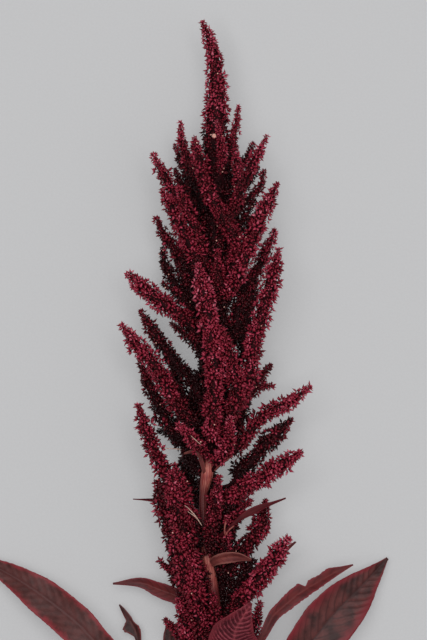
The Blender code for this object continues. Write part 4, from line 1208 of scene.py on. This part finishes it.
@dataclass
class SeedHead:
    """The head: its spikes' axes, the floret clusters on them and the seeds among these."""

    cluster: Cluster = field(default_factory=Cluster)
    girth_scale: float = 1.1
    tip_share: float = 0.45
    taper_length: float = 14.0
    stalk_radius: float = 0.9
    sheath_radius: float = 4.4
    sheath_depth: float = 3.2
    sheath_y: Row = (-176.0, -150.0, -125.0, -100.0, -75.0, -50.0, -34.0)
    back_spikes: int = 17
    front_spikes: int = 4
    spacing: float = 2.75
    height: float = 2.3
    sink: float = 0.2
    lump_pitch: float = 5.2
    lump_rise: float = 1.25
    lump_splay: float = 1.3
    # Painted shade: tone added on lump tops and taken off in the gaps between lumps
    lump_painted_shade: float = 0.19
    # Painted shade taken off the tone deep in the head, and painted light added towards spike tips
    inner_shade_tone: float = 0.28
    tip_painted_light: float = 0.13
    # Florets are younger and smaller towards the head's tip: size along the plant
    age: Rows = ((-70.0, 1.0), (70.0, 0.86), (150.0, 0.8))
    # The main spike gets painted inner shade below open_tip_y; spikes that rise more than facing_height
    # over the axis get none
    open_tip_y: float = 146.0
    facing_height: float = 10.5
    # How far the painted shade under other spikes builds up, and how much tone it takes off
    shade_depth: float = 1.1
    painted_shade_tone: float = 0.36
    gap_margin: float = 0.8
    gap_bend: float = 5.0
    step: float = 1.0
    core_sides: int = 10
    seed_every: int = 60
    seed_radius: float = 0.42
    pod_px: tuple[float, float] = (214.0, 138.0)
    pod_height: float = 45.5
    pod_radius: float = 1.25

    def underside_spikes(self) -> list[Spike]:
        """Spikes below the axis, by the golden angle: most bend to lie along the surface."""
        rng = np.random.default_rng([SEED, 1])
        spikes = []
        for k in range(self.back_spikes):
            share = (k + 0.5) / self.back_spikes
            root = 84.0 - 232.0 * share
            sweep = (k * GOLDEN_ANGLE) % math.tau / math.tau
            across = math.radians(206.0 + 128.0 * sweep)
            reach = blend(UNDERSIDE_SPREAD, root)[0]
            depth = 1.0 if k % 3 else 0.55
            centre = axis_at(root)[0]
            points = []
            for out, down, ahead in ((0.42, 0.52, 0.24), (0.8, 0.97, 0.6), (1.0, 1.0, 1.0)):
                points.append((centre.x + math.cos(across) * reach * out, root + 50.0 * ahead,
                               -centre.z * depth * down))
            spikes.append(Spike(f"underside_{k}", root, tuple(points), rng.uniform(4.0, 4.8),
                                PaintedLight.HALF, Share.UNDER))
        return spikes

    def upper_spikes(self) -> list[Spike]:
        """Short spikes that cover the axis on the side that faces up."""
        rng = np.random.default_rng([SEED, 2])
        spikes = []
        for k in range(self.front_spikes):
            root = 78.0 - 100.0 * (k + 0.5) / self.front_spikes
            across = math.radians(62.0 + 56.0 * ((k * GOLDEN_ANGLE) % math.tau) / math.tau)
            reach = rng.uniform(10.0, 12.5)
            centre = axis_at(root)[0].x
            points = tuple((centre + math.cos(across) * reach * part, root + 30.0 * ahead,
                            math.sin(across) * reach * part)
                           for part, ahead in ((0.75, 0.4), (1.0, 1.0)))
            spikes.append(Spike(f"upper_{k}", root, points, rng.uniform(3.4, 4.0), PaintedLight.HALF,
                                Share.FRONT))
        return spikes

    def side_line(self, spike: Spike) -> SpikeLine:
        """Centre line and radius of a side spike, from its root inside the axis to its tip."""
        root = axis_at(spike.root)[0]
        if spike.root < MAIN_GIRTH[0][0]:
            root.z -= self.sheath_depth * 0.8
        points = [root] + [Vector((x, y, axis_at(y)[0].z + over)) for x, y, over in spike.via]
        for point in points:
            point.z = max(point.z, spike.girth * 0.8)
        path = smooth_path(points, self.step)
        if all(over <= 0.0 for _, _, over in spike.via):
            path = self.round_gaps(path, spike.girth * self.girth_scale)
        share, length = np.linspace(0.0, 1.0, len(path)), self.step * (len(path) - 1)
        rise = np.minimum(1.0, (1.0 - share) * length / min(self.taper_length, 0.5 * length))
        rise = rise * rise * (3.0 - 2.0 * rise)
        foot = 0.86 + 0.14 * np.minimum(1.0, share / 0.35)
        radius = spike.girth * self.girth_scale * (self.tip_share + (1.0 - self.tip_share) * rise) * foot
        return SpikeLine(spike, path, radius, length)

    def round_gaps(self, path: np.ndarray, girth: float) -> np.ndarray:
        """Bend the line of a spike that stands behind others round the gaps between these.

        Args:
            path: the line's points.
            girth: the spike's radius.

        Returns:
            The bent line.
        """
        free = np.clip(np.linspace(0.0, 1.0, len(path)) / 0.2, 0.0, 1.0)
        for px, py, reach in GAPS:
            away = path[:, :2] - photo_place(px, py)
            gap = np.maximum(np.linalg.norm(away, axis=1), 0.5)
            push = np.clip(reach + girth + self.gap_margin - gap, 0.0, self.gap_bend) * free
            path[:, :2] += away / gap[:, None] * push[:, None]
        for k in range(2):
            path[2:-2, k] = np.convolve(path[:, k], np.full(5, 0.2), "same")[2:-2]
        return path

    def main_line(self) -> SpikeLine:
        """Centre line and radius of the main spike, up to the head's tip."""
        start = MAIN_GIRTH[0][0]
        points = [axis_at(start)[0]] + [Vector(row[:3]) for row in AXIS if row[1] > start + 4.0]
        path = smooth_path(points, self.step)
        radius = np.array([blend(MAIN_GIRTH, y)[0] for y in path[:, 1]]) * self.girth_scale
        spike = Spike("main", start, (), 7.6, PaintedLight.OPEN, Share.TIP, bare=0.0)
        return SpikeLine(spike, path, radius, self.step * (len(path) - 1))

    def sheath_line(self) -> SpikeLine:
        """The florets along the back of the stem, which the lower spikes grow from."""
        back = Vector((0.0, 0.0, -self.sheath_depth))
        path = smooth_path([axis_at(y)[0] + back for y in self.sheath_y], self.step)
        share = np.linspace(0.0, 1.0, len(path))
        radius = self.sheath_radius * self.girth_scale * np.minimum(1.0, 0.5 + 4.0 * share)
        spike = Spike("sheath", self.sheath_y[0], (), self.sheath_radius, PaintedLight.SHADE, Share.UNDER,
                      bare=0.0)
        return SpikeLine(spike, path, radius, self.step * (len(path) - 1))

    def cluster_size(self, radius: np.ndarray) -> np.ndarray:
        """Size of the clusters on a spike of that radius: smaller on slim tips."""
        return np.clip(0.58 + 0.095 * radius, 0.7, 1.1)

    def core_radius(self, line: SpikeLine) -> np.ndarray:
        """Radius of a spike's axis under its florets, rounded off at the tip."""
        left = np.linspace(line.length, 0.0, len(line.path))
        radius = np.maximum(0.5, line.radius - self.height * self.cluster_size(line.radius))
        return radius * np.sqrt(np.clip(left / np.maximum(line.radius, 1.0), 0.05, 1.0))

    def core(self, line: SpikeLine, pile: Pile) -> None:
        """Add a spike's axis: a thin stalk at its foot and a core under its florets."""
        share = np.linspace(0.0, 1.0, len(line.path))
        radius = np.where(share < line.spike.bare, self.stalk_radius, self.core_radius(line))
        picks = np.unique(np.append(np.arange(0, len(line.path), 2), len(line.path) - 1))
        ring = rings_along(line.path, radius[:, None], self.core_sides)[picks]
        points = np.concatenate((ring.reshape(-1, 3), line.path[picks[:1]], line.path[picks[-1:]]))
        pile.add(points, tube_faces(len(picks), self.core_sides), np.zeros((len(points), 3)), finish=1)

    def spiral(self, line: SpikeLine, spacing: float, angle: float) -> tuple[np.ndarray, np.ndarray]:
        """Places along a spike and turns round it, even over its surface by the golden angle.

        Args:
            line: the spike's line.
            spacing: the distance between neighbours on a thick spike.
            angle: the first one's turn.

        Returns:
            The places and the turns.
        """
        reach = np.arange(len(line.path)) * self.step
        at, turn, place = [], [], line.spike.bare * line.length
        while place < line.length:
            radius = float(np.interp(place, reach, line.radius))
            pitch = spacing * float(self.cluster_size(np.array(radius)))
            at.append(place)
            turn.append(angle)
            angle += GOLDEN_ANGLE
            place += 0.866 * pitch ** 2 / (math.tau * max(radius * 0.7, 1.2))
        return np.array([*at, line.length]), np.array([*turn, angle])

    def seats(self, line: SpikeLine, index: int) -> dict[str, np.ndarray]:
        """Where the clusters of a spike sit, on a spiral with the golden angle.

        Args:
            line: the spike's line.
            index: its place in the list, for the seed.

        Returns:
            For each cluster its foot, direction, size and tone.
        """
        rng = np.random.default_rng([SEED, 1000 + index])
        tangent, side, up = frames_along(line.path)
        reach = np.arange(len(line.path)) * self.step
        places, turns = self.spiral(line, self.spacing, rng.uniform(0.0, math.tau))
        turns = turns + rng.uniform(-0.2, 0.2, len(turns))
        knots, knot_turns = self.spiral(line, self.lump_pitch, rng.uniform(0.0, math.tau))
        knots = knots + rng.uniform(-0.6, 0.6, len(knots))

        def read(values: np.ndarray) -> np.ndarray:
            """Values at the clusters' places."""
            return np.stack([np.interp(places, reach, column) for column in values.T], axis=1)

        centre, forward = read(line.path), unit(read(tangent))
        spoke = unit(read(side) * np.cos(turns)[:, None] + read(up) * np.sin(turns)[:, None])
        round_it = np.cross(forward, spoke)
        radius = np.interp(places, reach, line.radius)
        pitch = self.lump_pitch * self.cluster_size(radius)
        past = (places[:, None] - knots[None, :]) / pitch[:, None]
        swing = (turns[:, None] - knot_turns[None, :] + math.pi) % math.tau - math.pi
        beside = swing * np.maximum(radius * 0.75, 1.2)[:, None] / pitch[:, None]
        nearest = np.argmin(past ** 2 + beside ** 2, axis=1)
        row = np.arange(len(places))
        past, beside = past[row, nearest], beside[row, nearest]
        lump = np.clip(1.0 - 6.5 * (past ** 2 + beside ** 2), -1.0, 1.0)
        lump += rng.normal(0.0, 0.15, len(places))
        size = self.cluster_size(radius) * rng.uniform(0.75, 1.2, len(places)) * (1.0 + 0.26 * lump)
        left = np.clip((line.length - places) / np.maximum(radius, 1.0), 0.0, 1.0)
        core = np.interp(places, reach, self.core_radius(line)) - self.sink
        foot = np.maximum(0.1, core + self.lump_rise * lump * np.clip(radius / 4.0, 0.4, 1.0))
        tilt = np.radians(24.0 + 62.0 * (1.0 - left) ** 1.5)[:, None]
        splay = self.lump_splay * (forward * past[:, None] + round_it * beside[:, None])
        ahead = unit(spoke * np.cos(tilt) + forward * np.sin(tilt) + splay
                     + rng.normal(0.0, 0.12, spoke.shape))
        lump_tone = rng.normal(0.0, 0.06, len(knots))[nearest]
        # painted light and shade: the spike's painted light sets the base tone, lump tops are painted
        # lighter and the gaps between lumps darker
        tone = 0.36 * line.spike.light.value - 0.02 + self.lump_painted_shade * lump + lump_tone
        tone += rng.normal(0.0, 0.06, len(places))
        # painted light and shade: tone painted lighter towards a spike's tip and darker where it lies
        # deep in the head
        tone += self.tip_painted_light * np.clip(places / line.length / 0.4 - 1.5, 0.0, 1.0)
        tone -= self.inner_shade_tone * self.inner_shade_share(line, places)
        size *= read_row(self.age, centre[:, 1])
        return {"foot": centre + spoke * foot[:, None], "ahead": ahead, "size": size, "tone": tone}

    def inner_shade_share(self, line: SpikeLine, places: np.ndarray) -> np.ndarray:
        """How deep in the head each place along a spike lies, for its painted shade: 0 outside, 1 right
        inside.
        """
        reach = np.arange(len(line.path)) * self.step
        if not line.spike.via:
            along = np.interp(places, reach, line.path[:, 1])
            return np.clip((self.open_tip_y - along) / 22.0, 0.0, 1.0)
        if max(over for _, _, over in line.spike.via) > self.facing_height:
            return np.zeros(len(places))
        return np.clip((0.6 - places / line.length) / 0.4, 0.0, 1.0)

    def buried(self, lines: list[SpikeLine], own: int, feet: np.ndarray) -> np.ndarray:
        """Whether each foot lies deep inside another spike, where no floret would show."""
        hidden = np.zeros(len(feet), dtype=bool)
        low, high = feet.min(axis=0) - 8.0, feet.max(axis=0) + 8.0
        for index, other in enumerate(lines):
            if index == own:
                continue
            begin = int(other.spike.bare * (len(other.path) - 1)) + 1
            path, radius = other.path[begin:-2:2], other.radius[begin:-2:2]
            near = np.all((path > low) & (path < high), axis=1)
            if near.any():
                gap = np.linalg.norm(feet[:, None, :] - path[None, near], axis=2)
                hidden |= (gap < (radius[near] - self.height)[None, :] * 0.92).any(axis=1)
        return hidden

    def shade(self, lines: list[SpikeLine], own: int, feet: np.ndarray) -> np.ndarray:
        """How much of the light from above other spikes keep off each foot, for the painted shade.

        Args:
            lines: every spike.
            own: the index of the feet's own spike.
            feet: the feet, one a row.

        Returns:
            A share from 0, open, to 1, in full shade.
        """
        kept = np.zeros(len(feet))
        low, high = feet.min(axis=0), feet.max(axis=0)
        for index, other in enumerate(lines):
            begin = int(other.spike.bare * (len(other.path) - 1)) + 1
            path, radius = other.path[begin::3], other.radius[begin::3]
            near = np.all((path[:, :2] > low[:2] - 22.0) & (path[:, :2] < high[:2] + 22.0), axis=1)
            if index == own or not near.any():
                continue
            away = path[None, near] - feet[:, None, :]
            gap = np.linalg.norm(away, axis=2) + 0.1
            rise = np.clip(away[..., 2] / gap - 0.1, 0.0, 1.0)
            covers = 6.0 * self.step * radius[near] / (math.pi * gap ** 2)
            kept += (rise * np.minimum(1.0, covers)).sum(axis=1)
        return 1.0 - np.exp(-self.shade_depth * kept)

    def clear_of(self, feet: np.ndarray, guards: np.ndarray) -> np.ndarray:
        """Whether each foot keeps off the leaves and the stem."""
        tree = KDTree(len(guards))
        for index, point in enumerate(guards):
            tree.insert(point, index)
        tree.balance()
        leaf_gap = np.array([tree.find(foot)[2] for foot in feet])
        places = [axis_at(y) for y in feet[:, 1]]
        axis, stem = (np.array([place[k] for place in places]) for k in (0, 1))
        stem_gap = np.linalg.norm((feet - axis)[:, [0, 2]], axis=1) - stem
        return (leaf_gap > 1.7) & ((stem_gap > 0.3) | (feet[:, 1] > STEM_TOP_Y))

    def cover(self, pile: Pile, seats: dict[str, np.ndarray], rng: np.random.Generator) -> None:
        """Put a cluster of a random kind on each seat."""
        kinds = self.cluster.all_kinds()
        picks = rng.integers(0, len(kinds), len(seats["foot"]))
        ahead = seats["ahead"]
        helper = unit(rng.normal(size=ahead.shape))
        right = unit(np.cross(helper, ahead))
        turn = np.stack((right, np.cross(ahead, right), ahead), axis=1)
        for index, (shape, faces, places) in enumerate(kinds):
            chosen = np.nonzero(picks == index)[0]
            if not len(chosen):
                continue
            points = np.einsum("pk,nkj->npj", shape, turn[chosen]) * seats["size"][chosen, None, None]
            points += seats["foot"][chosen, None, :]
            mark = np.zeros(points.shape)
            # each bract's own random tone, plus a painted highlight that lightens it towards its tip
            own = 0.4 * places[:, 1] ** 2.0 + 0.2 * places[:, 0] ** 2 - 0.12
            mark[..., 0] = np.clip(seats["tone"][chosen, None] + own[None, :], 0.0, 1.0)
            mark[..., 1] = places[None, :, 0]
            shift = (np.arange(len(chosen)) * len(shape))[:, None, None]
            pile.add(points.reshape(-1, 3), (faces[None] + shift).reshape(-1, 3), mark.reshape(-1, 3))

    def seed_points(self, radius: float) -> tuple[np.ndarray, np.ndarray]:
        """A small round grain about the origin: points and triangles."""
        bm = bmesh.new()
        bmesh.ops.create_icosphere(bm, subdivisions=2, radius=radius)
        points = np.array([tuple(vert.co) for vert in bm.verts]) * (1.0, 1.0, 0.8)
        faces = np.array([[vert.index for vert in face.verts] for face in bm.faces])
        bm.free()
        return points, faces

    def build(self, guards: np.ndarray) -> None:
        """Make the head's pieces, dress them and put them in the head's place.

        Args:
            guards: points of the leaves, which florets keep off.
        """
        side_spikes = [*SPIKES, *self.underside_spikes(), *self.upper_spikes()]
        lines = [self.main_line(), self.sheath_line(), *map(self.side_line, side_spikes)]
        piles = {share: Pile() for share in Share}
        seeds, rng = Pile(), np.random.default_rng([SEED, 3])
        grain, grain_faces = self.seed_points(self.seed_radius)
        total = 0
        for index, line in enumerate(lines):
            pile = piles[line.spike.share]
            self.core(line, pile)
            seats = self.seats(line, index)
            keep = self.clear_of(seats["foot"], guards) & ~self.buried(lines, index, seats["foot"])
            seats = {name: values[keep] for name, values in seats.items()}
            total += len(seats["foot"])
            if len(seats["foot"]):
                # painted shade: florets under other spikes get a darker tone
                seats["tone"] = seats["tone"] - self.painted_shade_tone * self.shade(lines, index, seats["foot"])
                self.cover(pile, seats, rng)
            for k in np.nonzero(rng.uniform(size=len(seats["foot"])) < 1.0 / self.seed_every)[0]:
                place = seats["foot"][k] + seats["ahead"][k] * 2.0 * seats["size"][k]
                seeds.add(grain + place, grain_faces, np.zeros((len(grain), 3)))
        pod, pod_faces = self.seed_points(self.pod_radius)
        pod_place = np.array((*photo_place(*self.pod_px), self.pod_height))
        seeds.add(pod + pod_place, pod_faces, np.zeros((len(pod), 3)))
        log.info("%d floret clusters on %d spikes", total, len(lines))
        finishes = [FloretBracts().make(), SpikeAxis().make()]
        pieces = [pile.build(share.value, finishes) for share, pile in piles.items()]
        pieces.append(seeds.build("ripe_seeds", [SeedCoat().make()]))
        for piece in pieces:
            dress(piece, "seed_head")


@dataclass
class Threads:
    """Thin stalks at the fork and dried threads of shed leaves, on top of the florets."""

    # Rows of place in the photograph, height and radius in millimetres
    fresh: tuple[Rows, ...] = (
        ((214.0, 470.0, 30.5, 0.9), (220.0, 464.5, 32.0, 0.7), (226.0, 460.0, 33.5, 0.6),
         (233.0, 454.5, 34.5, 0.5)),
        ((225.0, 534.0, 40.5, 0.45), (229.0, 528.0, 41.5, 0.45), (234.0, 524.0, 41.0, 0.5)),
        ((226.0, 519.0, 39.0, 0.4), (224.5, 527.0, 40.0, 0.4), (225.0, 533.0, 40.0, 0.4)),
    )
    dry: tuple[Rows, ...] = (
        ((185.0, 503.0, 46.5, 0.2), (190.0, 507.0, 47.5, 0.3), (196.0, 514.0, 47.5, 0.35),
         (202.0, 523.0, 46.0, 0.2)),
        ((188.0, 509.0, 47.0, 0.15), (194.0, 513.0, 47.8, 0.25), (198.0, 517.0, 47.0, 0.2)),
        ((191.0, 434.0, 47.5, 0.2), (196.0, 438.5, 48.5, 0.25), (201.0, 443.0, 47.5, 0.2)),
        ((164.0, 447.5, 37.0, 0.2), (172.0, 448.0, 37.5, 0.25), (181.0, 448.5, 37.0, 0.2)),
    )
    step: float = 0.5
    sides: int = 8
    # share of the stem's painted shade colour on the thin stalks
    painted_shade_share: float = 0.45

    def strand(self, pile: Pile, rows: Rows) -> None:
        """Add one thread as a thin tube through its rows."""
        points = [(*photo_place(px, py), height) for px, py, height, _ in rows]
        path = smooth_path(points, self.step)
        share = np.linspace(0.0, 1.0, len(path))
        radius = np.interp(share, np.linspace(0.0, 1.0, len(rows)), [row[3] for row in rows])
        ring = rings_along(path, radius[:, None], self.sides)
        points = np.concatenate((ring.reshape(-1, 3), path[:1], path[-1:]))
        marks = np.full((len(points), 3), self.painted_shade_share)
        pile.add(points, tube_faces(len(path), self.sides), marks)

    def build(self) -> None:
        """Make the threads, dress them and put them with the head."""
        for name, rows, finish in (("thin_stalks", self.fresh, StemSkin()),
                                   ("dry_threads", self.dry,
                                    SeedCoat("dry_thread_straw", "#94695c", "#c0a092"))):
            pile = Pile()
            for strand in rows:
                self.strand(pile, strand)
            dress(pile.build(name, [finish.make()]), "seed_head")


@dataclass
class Studio:
    """Pale paper under the plant, soft light and a camera that looks straight down."""

    floor_size: float = 30.0
    key_power: float = 19.5
    key_size: float = 1.2
    key_place: tuple[float, float, float] = (-0.1, 0.22, 1.5)
    fill_power: float = 4.5
    fill_size: float = 1.4
    fill_place: tuple[float, float, float] = (1.1, -0.3, 1.1)
    sky: str = "#d8dadc"
    sky_strength: float = 0.28

    def lamp(self, name: str, place: tuple[float, float, float], size: float, power: float) -> None:
        """Add a soft square lamp that points at the plant."""
        light = bpy.data.lights.new(name, "AREA")
        light.shape, light.size, light.energy = "SQUARE", size, power
        lamp = bpy.data.objects.new(name, light)
        lamp.location = place
        aim = Vector((0.0, 0.0, 0.02)) - Vector(place)
        lamp.rotation_euler = aim.to_track_quat("-Z", "Y").to_euler()
        bpy.context.scene.collection.objects.link(lamp)

    def camera(self) -> None:
        """Put the camera over the middle of the photograph's frame."""
        x, y = photo_place(PHOTO_WIDTH_PX / 2.0, PHOTO_HEIGHT_PX / 2.0)
        data = bpy.data.cameras.new("camera_above")
        data.lens, data.sensor_width = LENS_MM, SENSOR_MM
        camera = bpy.data.objects.new("camera_above", data)
        camera.location = (x * MM, y * MM, (AXIS_HEIGHT + CAMERA_DISTANCE) * MM)
        bpy.context.scene.collection.objects.link(camera)
        bpy.context.scene.camera = camera

    def build(self) -> None:
        """Lay the paper, set the lamps and the camera."""
        bm = bmesh.new()
        bmesh.ops.create_grid(bm, x_segments=8, y_segments=8, size=self.floor_size / 2.0)
        mesh = bpy.data.meshes.new("studio_paper")
        bm.to_mesh(mesh)
        bm.free()
        mesh.materials.append(StudioPaper().make())
        floor = bpy.data.objects.new("studio_paper", mesh)
        bpy.context.scene.collection.objects.link(floor)
        self.lamp("key_light", self.key_place, self.key_size, self.key_power)
        self.lamp("fill_light", self.fill_place, self.fill_size, self.fill_power)
        world = bpy.data.worlds.new("soft_room")
        world.use_nodes = True
        back = world.node_tree.nodes["Background"]
        back.inputs["Color"].default_value = linear(self.sky)
        back.inputs["Strength"].default_value = self.sky_strength
        bpy.context.scene.world = world
        bpy.context.scene.view_settings.view_transform = "Standard"
        self.camera()


def main() -> None:
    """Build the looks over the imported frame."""
    logging.basicConfig(level=logging.INFO, format="%(name)s: %(message)s")
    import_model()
    Studio().build()
    guards = LeafSet().build()
    Stem().build()
    SeedHead().build(guards)
    Threads().build()


if __name__ == "__main__":
    main()
